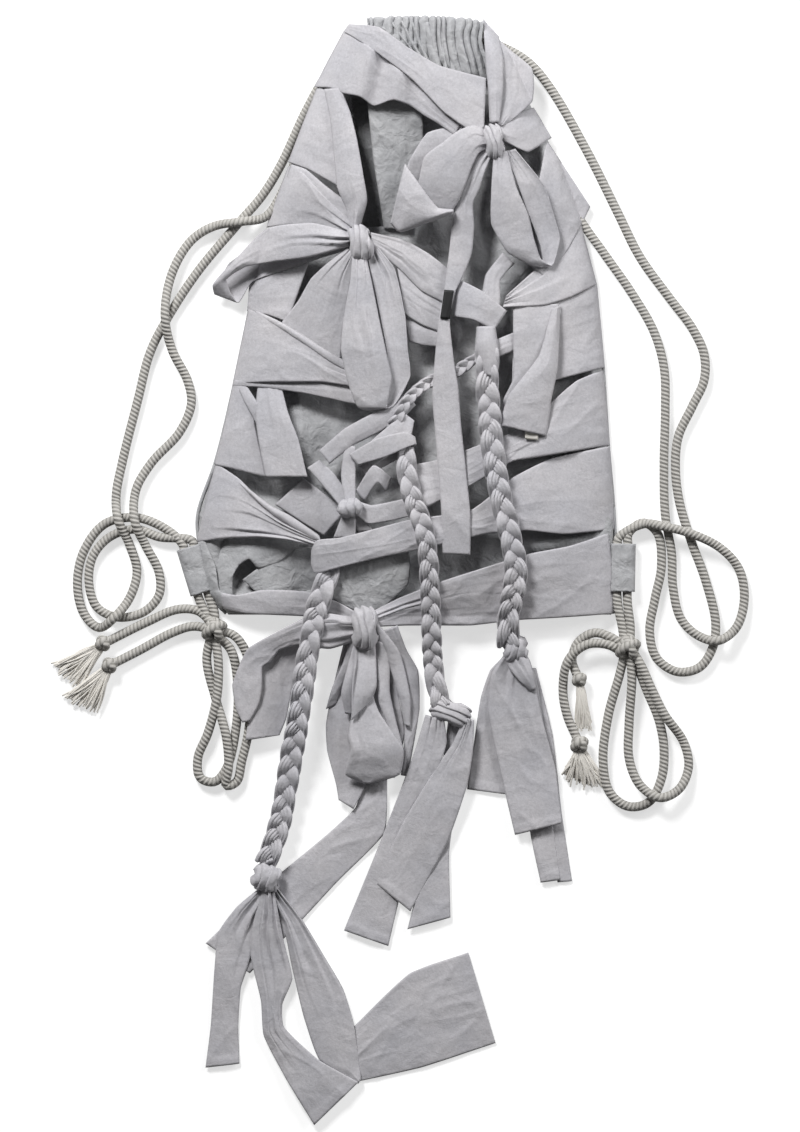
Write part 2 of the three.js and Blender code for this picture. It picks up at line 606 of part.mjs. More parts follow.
const RIGHT_CORD = [
  inTab(TABS.right, 1, TAB_MEET), inTab(TABS.right, 1, -8),
  [184, -156, LYING], [195, -164, LYING], [198, -190, LYING], [193, -215, LYING], [189, -240, LYING],
  [194, -260, LYING], [210, -271, LYING], [227, -268, LYING], [237, -254, LYING], [240, -234, LYING],
  [232, -200, LYING], [221, -170, LYING], [212, -140, LYING], [209, -115, LYING], [211, -90, LYING],
  [222, -66, LYING], [231, -46, LYING], [231, -26, LYING], [222, -6, LYING], [204, 18, LYING],
  [181, 50, LYING], [164, 84, LYING], [141, 130, LYING], [112, 180, LYING], [96, 199, LYING],
  [80, 209, 5], [66, LOWER_RUN, 14], ...through(LOWER_RUN, FRONT_CORD_Z).reverse(), [-31, LOWER_RUN, MOUTH_Z],
  ...through(LOWER_RUN, BACK_CORD_Z), [66, LOWER_RUN - 4, LYING], [78, 196, LYING], [92, 168, LYING], [112, 128, LYING],
  [133, 82, LYING], [153, 53, LYING], [176, 20, LYING], [192, -8, LYING], [200, -36, LYING],
  [201, -70, LYING], [200, -110, LYING], [201, -150, LYING], [206, -180, LYING], [207, -206, LYING],
  [213, -230, LYING], [226, -243, 6], [241, -247, OVER], [255, -238, 6], [262, -216, LYING],
  [258, -192, LYING], [244, -176, 7], [222, -165, OVER], [200, -159, OVER], [184, -157, 7],
  inTab(TABS.right, -1, -4), inTab(TABS.right, -1, TAB_MEET),
];
add("left_drawcord", cord(LEFT_CORD), CORD_COTTON);
add("right_drawcord", cord(RIGHT_CORD), CORD_COTTON);

// Tied ends: both runs leave the tab, are knotted in two long loops, and end in a tassel each.
const TIE_MEET = TAB_MEET + 1;
function cordKnot([column, row], tilt) {
  const radius = 1.2 * CORD_DIAMETER;
  const [x, y] = plan([column, row]);
  const z = radius + CORD_DIAMETER / 2 + 0.3;
  const ring = new THREE.TorusGeometry(radius, CORD_DIAMETER / 2, 6, 10);
  const core = new THREE.SphereGeometry(radius, 8, 6);
  return [ring.rotateX(Math.PI / 2).rotateZ(tilt).translate(x, y, z), core.translate(x, y, z)];
}
const LEFT_TIE = [
  [inTab(TABS.left, 1, TIE_MEET), inTab(TABS.left, 1, TAB_LENGTH + 4), [-154, -226, 6], [-149, -238, 6]],
  [inTab(TABS.left, -1, TIE_MEET), inTab(TABS.left, -1, TAB_LENGTH + 4), [-147, -226, 6], [-147, -240, 6]],
  [[-149, -240, 8], [-153, -262, 6], [-146, -292, 6], [-138, -320, 10], [-136, -344, 9], [-138, -359, 6],
    [-130, -356, LYING], [-126, -340, LYING], [-121, -318, LYING], [-119, -290, LYING], [-122, -258, LYING],
    [-132, -243, 6], [-146, -239, 8]],
  [[-147, -242, 8], [-144, -262, 9], [-145, -290, 9], [-152, -318, 6], [-160, -338, LYING], [-158, -353, LYING],
    [-147, -356, LYING], [-138, -346, LYING], [-131, -318, LYING], [-129, -285, LYING], [-134, -255, 6],
    [-145, -243, 8]],
  [[-150, -232, 7], [-160, -224, 5], [-176, -223, LYING], [-200, -233, LYING], [-227, -247, LYING]],
  [[-150, -238, 7], [-164, -236, 5], [-180, -241, LYING], [-204, -254, LYING], [-221, -264, LYING]],
];
const RIGHT_TIE = [
  [inTab(TABS.right, 1, TIE_MEET), inTab(TABS.right, 1, TAB_LENGTH + 6), [174, -238, 6], [173, -254, 8]],
  [inTab(TABS.right, -1, TIE_MEET), inTab(TABS.right, -1, TAB_LENGTH + 6), [168, -238, 6], [170, -254, 8]],
  [[170, -254, 8], [166, -272, 6], [157, -305, LYING], [153, -340, LYING], [158, -364, LYING],
    [172, -375, LYING], [188, -372, LYING], [198, -354, LYING], [200, -330, LYING], [196, -308, LYING],
    [187, -286, LYING], [178, -264, 6], [172, -254, 8]],
  [[173, -254, 9], [175, -275, 9], [173, -310, 6], [173, -338, 6], [181, -358, 8], [196, -368, OVER],
    [211, -362, 8], [219, -345, LYING], [215, -325, LYING], [200, -304, OVER], [190, -284, OVER],
    [182, -266, OVER], [175, -254, 9]],
  [[170, -252, 8], [158, -244, 8], [146, -241, 6], [134, -248, LYING], [129, -262, LYING], [132, -270, LYING]],
  [[168, -256, 9], [156, -250, OVER], [140, -250, OVER], [126, -262, 9], [122, -284, LYING],
    [125, -304, LYING], [131, -318, LYING]],
];
add("left_tied_cord", fuse(
  ...LEFT_TIE.map(cord), ...cordKnot([-147, -239], 0.4),
), CORD_COTTON);
add("right_tied_cord", fuse(
  ...RIGHT_TIE.map(cord), ...cordKnot([172, -253], 0.2),
), CORD_COTTON);

// Tassels: a stopper knot in the cord's end, and its frayed strands.
function tassel(place, knotSize, edges) {
  const fringe = strip({ edges, layers: [1, 0, 0], puff: 4 });
  return fuse(knot(place, knotSize, 0), fringe);
}
add("left_tassel_upper", tassel([-232.9, -248.8], [7, 7, 6],
  [[[-237, -246], [-252, -256], [-268, -266]], [[-232, -252], [-242, -264], [-252, -280]]]), CORD_COTTON);
add("left_tassel_lower", tassel([-228.2, -266.2], [7, 6, 6],
  [[[-235, -268], [-246, -280], [-262, -291]], [[-230, -270], [-236, -282], [-240, -299]]]), CORD_COTTON);
add("right_tassel_upper", tassel([134.5, -276.2], [5, 6, 6],
  [[[133, -280], [130, -294], [132, -309]], [[138, -280], [140, -294], [143, -312]]]), CORD_COTTON);
add("right_tassel_lower", tassel([133.6, -325.2], [8, 7, 6],
  [[[131, -330], [126, -344], [121, -356]], [[137, -330], [146, -344], [150, -357]]]), CORD_COTTON);

export default sack;
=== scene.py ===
"""Looks of the drawstring gym sack: its cloth, cords, light and camera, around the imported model.

Plans are in millimetres in the row frame, as in the CAD source: +X right, +Y to the mouth, +Z up.
"""

import math
from functools import partial

import bpy
import numpy as np
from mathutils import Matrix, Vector

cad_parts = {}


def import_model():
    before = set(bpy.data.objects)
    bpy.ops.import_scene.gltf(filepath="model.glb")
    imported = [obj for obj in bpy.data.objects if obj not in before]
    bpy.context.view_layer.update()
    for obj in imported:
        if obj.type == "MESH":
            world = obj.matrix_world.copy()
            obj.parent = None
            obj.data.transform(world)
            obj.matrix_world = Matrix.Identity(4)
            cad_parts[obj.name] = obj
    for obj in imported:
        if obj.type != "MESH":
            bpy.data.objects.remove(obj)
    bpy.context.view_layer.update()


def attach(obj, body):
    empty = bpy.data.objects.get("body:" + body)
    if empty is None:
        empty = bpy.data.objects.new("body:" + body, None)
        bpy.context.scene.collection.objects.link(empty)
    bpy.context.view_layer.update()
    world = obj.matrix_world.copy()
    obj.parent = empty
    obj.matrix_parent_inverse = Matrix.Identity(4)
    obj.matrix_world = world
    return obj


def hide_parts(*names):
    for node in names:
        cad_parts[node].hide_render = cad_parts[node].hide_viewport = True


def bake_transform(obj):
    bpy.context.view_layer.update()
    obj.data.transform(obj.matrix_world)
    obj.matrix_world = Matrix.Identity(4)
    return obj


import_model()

MM = 0.001
FULL_TURN = 2 * math.pi
SACK_SIDE = 10  # height of the side walls
SACK_CROWN = 16  # how far the front rises above them
SEAM_HEIGHT = 2.5
SIDE_FULLNESS = 0.9
MOUTH_LIFT = 6  # how much higher the edges lie near the mouth
MOUTH_FROM, MOUTH_TO = 60, 110
HEM_Y = -228
HEM_RUN = 90
FALL_RUN = 40  # over which a strip comes down from the hem to the floor
SHOULDER = 14  # radius of the sack's edge
CORD_DIAMETER = 7
LYING = CORD_DIAMETER / 2 + 0.5  # middle of a cord that lies on the floor
CLOTH_THICKNESS = 0.7
CLOTH_STEP = 1.8
CLOTH_LOWEST = 0.5
LEFT_OUTLINE = [
    (-138, -226), (-152, -210), (-159, -172), (-160, -150), (-146, -108), (-132, -50), (-120, 8),
    (-105, 72), (-88, 121), (-68, 178), (-46, 226),
]
RIGHT_OUTLINE = [
    (161, -226), (162, -160), (157, -97), (153, -36), (147, 28), (136, 76), (118, 125), (98, 165),
    (80, 205), (62, 226),
]


# Small tools: smooth noise, curves and heights.
SCATTER_X, SCATTER_Y, SCATTER_SEED, SCATTER = 127.1, 311.7, 74.7, 43758.5453


def noise(x, y, seed=0):
    """Smooth value noise from -1 to 1, with cells of size 1."""
    x, y = np.asarray(x, float), np.asarray(y, float)
    column, row = np.floor(x), np.floor(y)

    def corner(i, j):
        value = (column + i) * SCATTER_X + (row + j) * SCATTER_Y + seed * SCATTER_SEED
        value = np.sin(value) * SCATTER
        return 2 * (value - np.floor(value)) - 1

    fx, fy = x - column, y - row
    fx, fy = fx * fx * (3 - 2 * fx), fy * fy * (3 - 2 * fy)
    low = corner(0, 0) * (1 - fx) + corner(1, 0) * fx
    high = corner(0, 1) * (1 - fx) + corner(1, 1) * fx
    return low * (1 - fy) + high * fy


def smooth(value, low, high):
    """A smooth step from 0 at low to 1 at high."""
    share = np.clip((np.asarray(value, float) - low) / (high - low), 0, 1)
    return share * share * (3 - 2 * share)


def fuller(wave, power):
    """A wave between -1 and 1 that stays longer near its ends, for the outline of a flattened tube."""
    return np.sign(wave) * np.abs(wave) ** power


def spline(points, stations):
    """Centripetal Catmull-Rom curve through points, at stations counted from 0 at the first point."""
    points = np.asarray(points, float)
    ends = [2 * points[0] - points[1], 2 * points[-1] - points[-2]]
    points = np.vstack([ends[0], points, ends[1]])
    stations = np.clip(stations, 0, len(points) - 3 - 1e-9)
    first = np.floor(stations).astype(int)
    p0, p1, p2, p3 = (points[first + i] for i in range(4))
    knots = [np.zeros(len(first))]
    for a, b in ((p0, p1), (p1, p2), (p2, p3)):
        knots.append(knots[-1] + np.maximum(np.linalg.norm(b - a, axis=1), 1e-6) ** 0.5)
    k0, k1, k2, k3 = (k[:, None] for k in knots)
    t = k1 + (stations - first)[:, None] * (k2 - k1)
    a1 = (k1 - t) / (k1 - k0) * p0 + (t - k0) / (k1 - k0) * p1
    a2 = (k2 - t) / (k2 - k1) * p1 + (t - k1) / (k2 - k1) * p2
    a3 = (k3 - t) / (k3 - k2) * p2 + (t - k2) / (k3 - k2) * p3
    b1 = (k2 - t) / (k2 - k0) * a1 + (t - k0) / (k2 - k0) * a2
    b2 = (k3 - t) / (k3 - k1) * a2 + (t - k1) / (k3 - k1) * a3
    return (k2 - t) / (k2 - k1) * b1 + (t - k1) / (k2 - k1) * b2


def even_stations(points, step):
    """Stations that are a step apart along the curve through points, and the curve's length."""
    samples = 60  # between two points
    parts = len(points) - 1
    fine = np.linspace(0, parts, samples * parts + 1)
    line = spline(points, fine)
    run = np.concatenate([[0], np.cumsum(np.linalg.norm(np.diff(line, axis=0), axis=1))])
    count = max(4, round(run[-1] / step))
    return np.interp(np.linspace(0, run[-1], count + 1), run, fine), run[-1]


def outline_at(y):
    """x of the sack's left and right edges."""
    sides = (LEFT_OUTLINE, RIGHT_OUTLINE)
    return [np.interp(y, [p[1] for p in side], [p[0] for p in side]) for side in sides]


def ground(x, y):
    """Height of the sack's front, or of the floor beyond its hem."""
    inside = np.maximum(y, HEM_Y)
    left, right = outline_at(inside)
    share = np.clip((2 * x - left - right) / (right - left), -1, 1)
    depth = np.clip(np.minimum(x - left, right - x), 0, SHOULDER) / SHOULDER
    edge = SEAM_HEIGHT + MOUTH_LIFT * smooth(inside, MOUTH_FROM, MOUTH_TO)
    rise = np.clip((inside - HEM_Y) / HEM_RUN, 0, 1)
    crown = SACK_CROWN * (1 - (1 - rise) ** 2)
    wall = (SACK_SIDE - SEAM_HEIGHT) * np.sqrt(1 - (1 - depth) ** 2) * SIDE_FULLNESS
    front = edge + wall + crown * (1 - share**2)
    return front * (1 - smooth(HEM_Y - y, 0, FALL_RUN))


# Materials: procedural nodes only.
class Nodes:
    """A short way to write a node tree."""

    def __init__(self, name):
        self.material = bpy.data.materials.new(name)
        self.material.use_nodes = True
        self.tree = self.material.node_tree
        self.shader = self.tree.nodes["Principled BSDF"]

    def fill(self, node, inputs):
        for key, value in inputs.items():
            if isinstance(value, bpy.types.NodeSocket):
                self.tree.links.new(value, node.inputs[key])
            else:
                node.inputs[key].default_value = value

    def shade(self, inputs):
        self.fill(self.shader, inputs)

    def add(self, kind, inputs=None, **settings):
        node = self.tree.nodes.new(f"ShaderNode{kind}")
        for key, value in settings.items():
            setattr(node, key, value)
        self.fill(node, inputs or {})
        return node

    def place(self, kind="Object"):
        return self.add("TexCoord").outputs[kind]

    def math(self, operation, first, second=0):
        return self.add("Math", {0: first, 1: second}, operation=operation).outputs[0]

    def noise(self, place, scale, detail=2, roughness=0.5, distortion=0):
        inputs = {"Vector": place, "Scale": scale, "Detail": detail, "Roughness": roughness}
        return self.add("TexNoise", {**inputs, "Distortion": distortion}).outputs["Fac"]

    def bump(self, height, distance, strength, under=None):
        inputs = {"Height": height, "Distance": distance, "Strength": strength}
        if under:
            inputs["Normal"] = under
        return self.add("Bump", inputs).outputs["Normal"]

    def ramp(self, factor, *stops):
        node = self.add("ValToRGB", {"Fac": factor})
        while len(node.color_ramp.elements) < len(stops):
            node.color_ramp.elements.new(0.5)
        for element, (position, colour) in zip(node.color_ramp.elements, stops):
            element.position = position
            element.color = (*colour, 1)
        return node.outputs["Color"]


def cloth_material(name, dark, light, crease_scale, crease_depth):
    """Woven cotton: a fine weave, soft creases and slightly uneven colour."""
    tone_scale, fleck_scale, weave_scale = 26, 520, 1150
    fleck_grey = (0.84, 0.84, 0.84)
    weave_depth = 0.0003
    first, second, result = 6, 7, 2  # the colour sockets of a mix node
    nodes = Nodes(name)
    place = nodes.place()
    tone = nodes.ramp(nodes.noise(place, tone_scale, 4), (0.3, dark), (0.72, light))
    fleck = nodes.noise(place, fleck_scale, 3, 0.7)
    fleck = nodes.ramp(fleck, (0.32, fleck_grey), (0.66, (1, 1, 1)))
    colours = {"Factor": 1, first: tone, second: fleck}
    mottled = nodes.add("Mix", colours, data_type="RGBA", blend_type="MULTIPLY")
    creased = nodes.bump(nodes.noise(place, crease_scale, 3, 0.5, 0.5), crease_depth, 0.7)
    woven = nodes.bump(nodes.noise(place, weave_scale), weave_depth, 0.6, creased)
    nodes.shade({"Base Color": mottled.outputs[result], "Normal": woven})
    nodes.shade({"Roughness": 0.88, "Specular IOR Level": 0.25, "Sheen Weight": 0.12})
    return nodes.material


def rope_material():
    """Twisted cotton: pale yarns with a darker yarn wound round, laid out along the cord's own UV."""
    yarns = 2
    dark, middle, pale = (0.26, 0.25, 0.23), (0.38, 0.37, 0.345), (0.48, 0.465, 0.44)
    yarn_depth, fibre_depth, fibre_scale = 0.0006, 0.0002, 1500
    nodes = Nodes("Twisted cord")
    uv = nodes.add("SeparateXYZ", {"Vector": nodes.place("UV")})
    turn = nodes.math("MULTIPLY", nodes.math("ADD", uv.outputs["X"], uv.outputs["Y"]), yarns * FULL_TURN)
    wave = nodes.math("SINE", turn)
    share = nodes.add("MapRange", {"Value": wave, "From Min": -1, "From Max": 1}).outputs["Result"]
    colour = nodes.ramp(share, (0.0, dark), (0.12, middle), (0.4, pale))
    lobes = nodes.bump(share, yarn_depth, 1.0)
    fuzzy = nodes.bump(nodes.noise(nodes.place(), fibre_scale), fibre_depth, 0.5, lobes)
    nodes.shade({"Base Color": colour, "Normal": fuzzy, "Roughness": 0.85, "Specular IOR Level": 0.2})
    return nodes.material


def plain_material(name, colour, roughness, grain_scale):
    grain_depth = 0.0002
    nodes = Nodes(name)
    bump = nodes.bump(nodes.noise(nodes.place(), grain_scale), grain_depth, 0.6)
    nodes.shade({"Base Color": (*colour, 1), "Roughness": roughness, "Normal": bump})
    return nodes.material


STRIP_CLOTH = cloth_material("Strip cotton", (0.48, 0.475, 0.505), (0.56, 0.545, 0.565), 55, 0.0022)
SACK_CLOTH = cloth_material("Washed sack cotton", (0.39, 0.395, 0.41), (0.51, 0.51, 0.52), 85, 0.0042)
CORD_COTTON = rope_material()
TASSEL_YARN = plain_material("Tassel yarn", (0.76, 0.73, 0.68), 0.9, 900)
LABEL_TAPE = plain_material("Black woven tape", (0.006, 0.006, 0.007), 0.6, 1600)


# Meshes from grids of points, in millimetres.
def grid_object(name, grid, material, closed=False, thickness=CLOTH_THICKNESS, uv=None, cut=None):
    """A mesh on a grid of points. cut marks the points round which it is cut away."""
    rows, columns = grid.shape[:2]
    index = np.arange(rows * columns).reshape(rows, columns)
    if closed:
        index = np.hstack([index, index[:, :1]])
    corners = [index[:-1, :-1], index[:-1, 1:], index[1:, 1:], index[1:, :-1]]
    faces = np.stack(corners, axis=-1).reshape(-1, 4)
    if cut is not None:
        faces = faces[~cut.reshape(-1)[faces].any(axis=1)]
    mesh = bpy.data.meshes.new(name)
    mesh.from_pydata((grid.reshape(-1, 3) * MM).tolist(), [], faces.tolist())
    mesh.polygons.foreach_set("use_smooth", np.ones(len(faces), bool))
    if uv is not None:
        layer = mesh.uv_layers.new(name="Turns")
        layer.data.foreach_set("uv", uv.reshape(-1).astype(np.float32))
    mesh.materials.append(material)
    made = bpy.data.objects.new(name, mesh)
    bpy.context.scene.collection.objects.link(made)
    if thickness:
        solid = made.modifiers.new("Cloth thickness", "SOLIDIFY")
        solid.thickness = thickness * MM
        solid.offset = 0
    return made


def settle(piece, body, nodes=(), hinge=None):
    """The piece stands for CAD nodes, which are hidden, and rides on a body.

    Given a hinge, its transform is baked into its mesh and it is not put on the body; the hinge's points are
    not read and nothing bends."""
    if nodes:
        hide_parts(*nodes)
    if hinge:
        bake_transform(piece)
    else:
        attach(piece, body)
    return piece


def cloth(name, grid, slot, body="sack", nodes=(), hinge=None, cut=None):
    """A sheet of cloth as a piece."""
    piece = grid_object(name, grid, SACK_CLOTH if slot == "sack" else STRIP_CLOTH, cut=cut)
    settle(piece, body, nodes, hinge)


def join(name, pieces):
    """Several meshes as one piece."""
    with bpy.context.temp_override(active_object=pieces[0], selected_editable_objects=pieces):
        bpy.ops.object.join()
    pieces[0].name = name
    return pieces[0]


def seed_of(name):
    return sum(ord(letter) * (i + 3) for i, letter in enumerate(name)) % 997


def knife_folds(v, run, folds, draw, seed):
    """Heights of folds that lap over each other across a strip, each as wide and deep as chance has it."""
    turned_share = 0.3  # of the folds lap the other way
    sway, sway_run = 0.13, 40  # how far folds wander sideways, and in what length
    fade_run = 30  # length in which a fold grows or fades
    crest, crest_height, hollow = 0.86, 1.25, 0.3  # where a fold is highest, and how high and low it goes
    bounds = np.concatenate([[0], np.cumsum(draw.uniform(0.5, 1.5, folds + 1))])
    bounds = bounds / bounds[-1]
    moved = sway * noise(run / sway_run + 0 * v, v * 2.3, seed) * np.sin(math.pi * v)
    place = np.clip(v + moved, 0, 1)
    number = np.clip(np.searchsorted(bounds, place, side="right") - 1, 0, folds)
    share = (place - bounds[number]) / (bounds[number + 1] - bounds[number])
    fade = np.maximum(0.5 + 0.6 * noise(run / fade_run + 0 * v, number * 3.7, seed + 2), 0)
    depth = draw.uniform(0.2, 1.25, folds + 1)[number] * fade
    turned = draw.random(folds + 1)[number] < turned_share
    share = np.where(turned, 1 - share, share)
    return depth * (share**1.4 * (1 - smooth(share, crest, 1.0)) * crest_height - hollow)


def creases(run, across, seed):
    """Heights of sharp small creases, most of them along the strip."""
    along_height, slanted_height, grain_height = 0.3, 0.6, 0.12

    def ridge(x, y, number):
        return (1 - np.abs(noise(x, y, number))) ** 4

    along = ridge(run / 46 + 0 * across, across / 9 + run / 120, seed + 3)
    slanted = ridge((run + across) / 38, (across - 0.5 * run) / 21, seed + 4)
    grain = noise(run / 9 + 0 * across, across / 4, seed + 5)
    return along_height * along + slanted_height * slanted + grain_height * grain


def drawn_edge(points, stations):
    """An edge of a strip: nearly straight between its points, with its corners eased."""
    eased = 0.45
    points = np.asarray(points, float)
    straight = np.stack([np.interp(stations, np.arange(len(points)), points[:, i]) for i in (0, 1)], axis=1)
    return (1 - eased) * straight + eased * spline(points, stations)


def strip_grid(name, edges, lifts, folds=2, gather=1, crown=0.8, roll=0.4, wave=1.1, face=1, tilt=0, hem=0):
    """Cloth between two edges drawn in plan, lifted off the sack and folded along its length.

    lifts, gather, wave, face and tilt have one value, or one per station: how high the cloth lies, how
    deep its folds and its waves are, which side is up and how much higher its first edge is than its
    second. crown is how far its middle swells, roll how far its edges turn down and hem how deep the hem
    at its end is."""
    fold_depth, deepest_fold = 0.6, 5.5
    swell_run, swell_width = 42, 34  # length and width of the cloth's slow waves
    roll_reach = 1.4
    hem_height = 0.6
    station_gap = 20  # taken between stations where lifts are smoothed
    finer = 1.5  # how much closer the points are across the strip than along it
    seed = seed_of(name)
    draw = np.random.default_rng(seed)
    count = len(edges[0])

    def per_station(value):
        return np.broadcast_to(np.asarray(value, float), (count,))

    def at(value):
        return np.interp(stations, np.arange(count), per_station(value))[:, None]

    middle = np.c_[(np.asarray(edges[0], float) + edges[1]) / 2, per_station(lifts)]
    stations, length = even_stations(middle, CLOTH_STEP)
    lift = spline(np.c_[np.arange(count) * station_gap, per_station(lifts)], stations)[:, 1:]
    one, other = (drawn_edge(edge, stations) for edge in edges)
    width = np.linalg.norm(other - one, axis=1)[:, None]
    columns = max(10, round(finer * float(width.max()) / CLOTH_STEP))
    v = np.linspace(0, 1, columns + 1)[None, :]
    run = np.linspace(0, length, len(stations))[:, None]
    plan = one[:, None] * (1 - v[..., None]) + other[:, None] * v[..., None]
    across = v * float(width.mean())
    folded = np.minimum(fold_depth * at(gather) ** 3, deepest_fold) * knife_folds(v, run, folds, draw, seed)
    swell = at(wave) * noise(run / swell_run + 0 * v, across / swell_width, seed + 6)
    inset = np.minimum(v, 1 - v) * width
    rolled = roll * (1 - np.sqrt(1 - (1 - np.clip(inset / (roll_reach * roll + 0.01), 0, 1)) ** 2))
    curved = at(face) * (4 * crown * v * (1 - v) - rolled)
    height = lift + at(tilt) * (0.5 - v) + curved + folded + creases(run, across, seed) + swell
    if hem:
        height = height + hem_height * smooth(run, length - hem - 1, length - hem + 1)
    x, y = plan[..., 0], plan[..., 1]
    return np.dstack([x, y, np.maximum(ground(x, y) + height, CLOTH_LOWEST)])


def strip(name, edges, lifts, body="sack", nodes=(), held="gathered", rests="front_panel", hinge=None,
          slot="strip", **look):
    """One strip of cloth as a piece."""
    cloth(name, strip_grid(name, edges, lifts, **look), slot, body, nodes, hinge)


floor_strip = partial(strip, rests="floor")


def sewn_strip(name, edges, lifts, **look):
    """A strip that stands for the CAD node of the same name."""
    strip(name, edges, lifts, nodes=[f"{name}_strip"], **look)


def knot_band(name, centre, angle, length, width, height, lift, body="sack", nodes=()):
    """The turn of cloth round a knot: a pleated band, length along an angle in degrees in plan."""
    rows, columns = 72, 44
    laps, lap_height, lap_crest = 2, 0.2, 0.84
    slant = 0.3  # how far the pleats run askew
    thickness = 1.2
    seed = seed_of(name)
    angle = math.radians(angle)
    t = np.linspace(0, FULL_TURN, rows + 1)[:, None]
    v = np.linspace(-1, 1, columns + 1)[None, :]
    drift = 0.2 * noise(t * 1.5 + 0 * v, v, seed + 1)
    lap = np.mod(laps * (v + slant * np.sin(t + seed)) / (1 + slant) + drift, 1)
    lap = lap * (1 - smooth(lap, lap_crest, 1.0))
    rounding = 0.2 * v**2 + 0.5 * v**10
    pleat = 1 + lap_height * (lap - 0.4) - rounding + 0.05 * noise(t * 2 + 0 * v, v * 3, seed)
    along = length / 2 * np.cos(t) * pleat
    up = height / 2 * np.sin(t) * pleat
    side = width / 2 * v * (1 + 0.12 * np.cos(2 * t + seed))
    x = centre[0] + along * math.cos(angle) - side * math.sin(angle)
    y = centre[1] + along * math.sin(angle) + side * math.cos(angle)
    base = float(ground(np.array(centre[0]), np.array(centre[1]))) + lift + height / 2
    grid = np.dstack([x, y, np.maximum(base + up, CLOTH_LOWEST)])
    settle(grid_object(name, grid, STRIP_CLOTH, thickness=thickness), body, nodes)


def frames_along(path):
    """Tangent, sideways and upward unit vectors at each point of a path."""
    steep = 0.95
    tangent = np.gradient(path, axis=0)
    tangent /= np.maximum(np.linalg.norm(tangent, axis=1, keepdims=True), 1e-9)
    side = np.zeros_like(path)
    side[0] = np.cross([0, 0, 1], tangent[0]) if abs(tangent[0][2]) < steep else [0, 1, 0]
    for i in range(1, len(path)):
        side[i] = side[i - 1] - tangent[i] * (side[i - 1] @ tangent[i])
        side[i] /= np.linalg.norm(side[i])
    side[0] /= np.linalg.norm(side[0])
    return tangent, side, np.cross(tangent, side)


def tube_grid(path, radius, sides):
    _, side, up = frames_along(path)
    turn = np.linspace(0, FULL_TURN, sides, endpoint=False)
    ring = np.cos(turn)[None, :, None] * side[:, None] + np.sin(turn)[None, :, None] * up[:, None]
    return path[:, None] + ring * radius


def closed_tube(name, path, material, radius, sides=12, turns=None):
    """A closed round tube. turns is its number of twists, for a cord's UV."""
    tip_size = 1e-3  # of the tube's own width
    grid = tube_grid(path, radius, sides)
    tips = [path[end] + tip_size * (grid[end] - path[end]) for end in (0, -1)]
    grid = np.concatenate([tips[0][None], grid, tips[1][None]])
    uv = None
    if turns:
        along = np.concatenate([[0], np.linspace(0, turns, len(path)), [turns]])
        around = np.linspace(0, 1, sides + 1)
        corners = np.array([(i, j) for i in range(len(grid) - 1) for j in range(sides)])
        i, j = corners[:, 0], corners[:, 1]
        face_corners = ((0, 0), (1, 0), (1, 1), (0, 1))
        uv = np.stack([np.c_[around[j + right], along[i + up]] for right, up in face_corners], axis=1)
    return grid_object(name, grid, material, closed=True, thickness=0, uv=uv)


def cord_path(points, step=2.2):
    """A cord's line: smooth in plan, and rising and falling smoothly between the heights given.

    A point without a height lies on the floor."""
    points = np.array([(*point, LYING)[:3] for point in points], float)
    stations, _ = even_stations(points, step)
    plan = spline(points[:, :2], stations)
    first = np.minimum(np.floor(stations).astype(int), len(points) - 2)
    share = smooth(stations - first, 0, 1)
    height = points[first, 2] * (1 - share) + points[first + 1, 2] * share
    return np.c_[plan, height]


ROPE_TURN = 6.2  # length of one full twist


def rope(name, path):
    """A twisted cord along a path, and its length."""
    length = float(np.linalg.norm(np.diff(path, axis=0), axis=1).sum())
    return closed_tube(name, path, CORD_COTTON, CORD_DIAMETER / 2, turns=length / ROPE_TURN), length


def free_rope(name, points, body, nodes=()):
    """A rope as a piece on a body, from where its points start."""
    path = cord_path(points)
    piece, length = rope(name, path)
    settle(piece, body, nodes)


# Sack: a creased front panel that sinks between the strips, a flat back and the gathered channel.
SEAM_INSET = 1.5
PANEL_SAG = 13  # how far the front panel lies below the strips
PANEL_LOWEST = 2.2
PANEL_DENTS = [  # place, reach across and up, and how much deeper the panel lies there
    ((-66, 112), (24, 10), 13), ((63, 84), (8, 42), 13), ((105, 116), (8, 18), 13), ((-46, -68), (16, 7), 8),
    ((-98, -128), (18, 8), 8), ((-72, -186), (7, 14), 8), ((16, -22), (13, 16), 9), ((44, 60), (7, 26), 6),
    ((112, -110), (34, 8), -8), ((116, -172), (36, 9), -9), ((-80, -84), (22, 24), -6),
    ((-26, -204), (26, 16), -7), ((-66, -146), (16, 14), -7),
]
SLOT_TOP, SLOT_END = 172, 72  # the deep opening beside the left shoulder strip
SLOT_HALF = 9


def panel_plan(low, high, step, columns):
    """x, y and the distance from the side seams of a panel's points, and their share from -1 to 1 across."""
    rows = np.arange(low, high, step)[:, None]
    share = np.linspace(-1, 1, columns)[None, :]
    left, right = outline_at(rows)
    left, right = left + SEAM_INSET, right - SEAM_INSET
    x = (left + right) / 2 + share * (right - left) / 2
    return x, rows + 0 * share, np.minimum(x - left, right - x), share


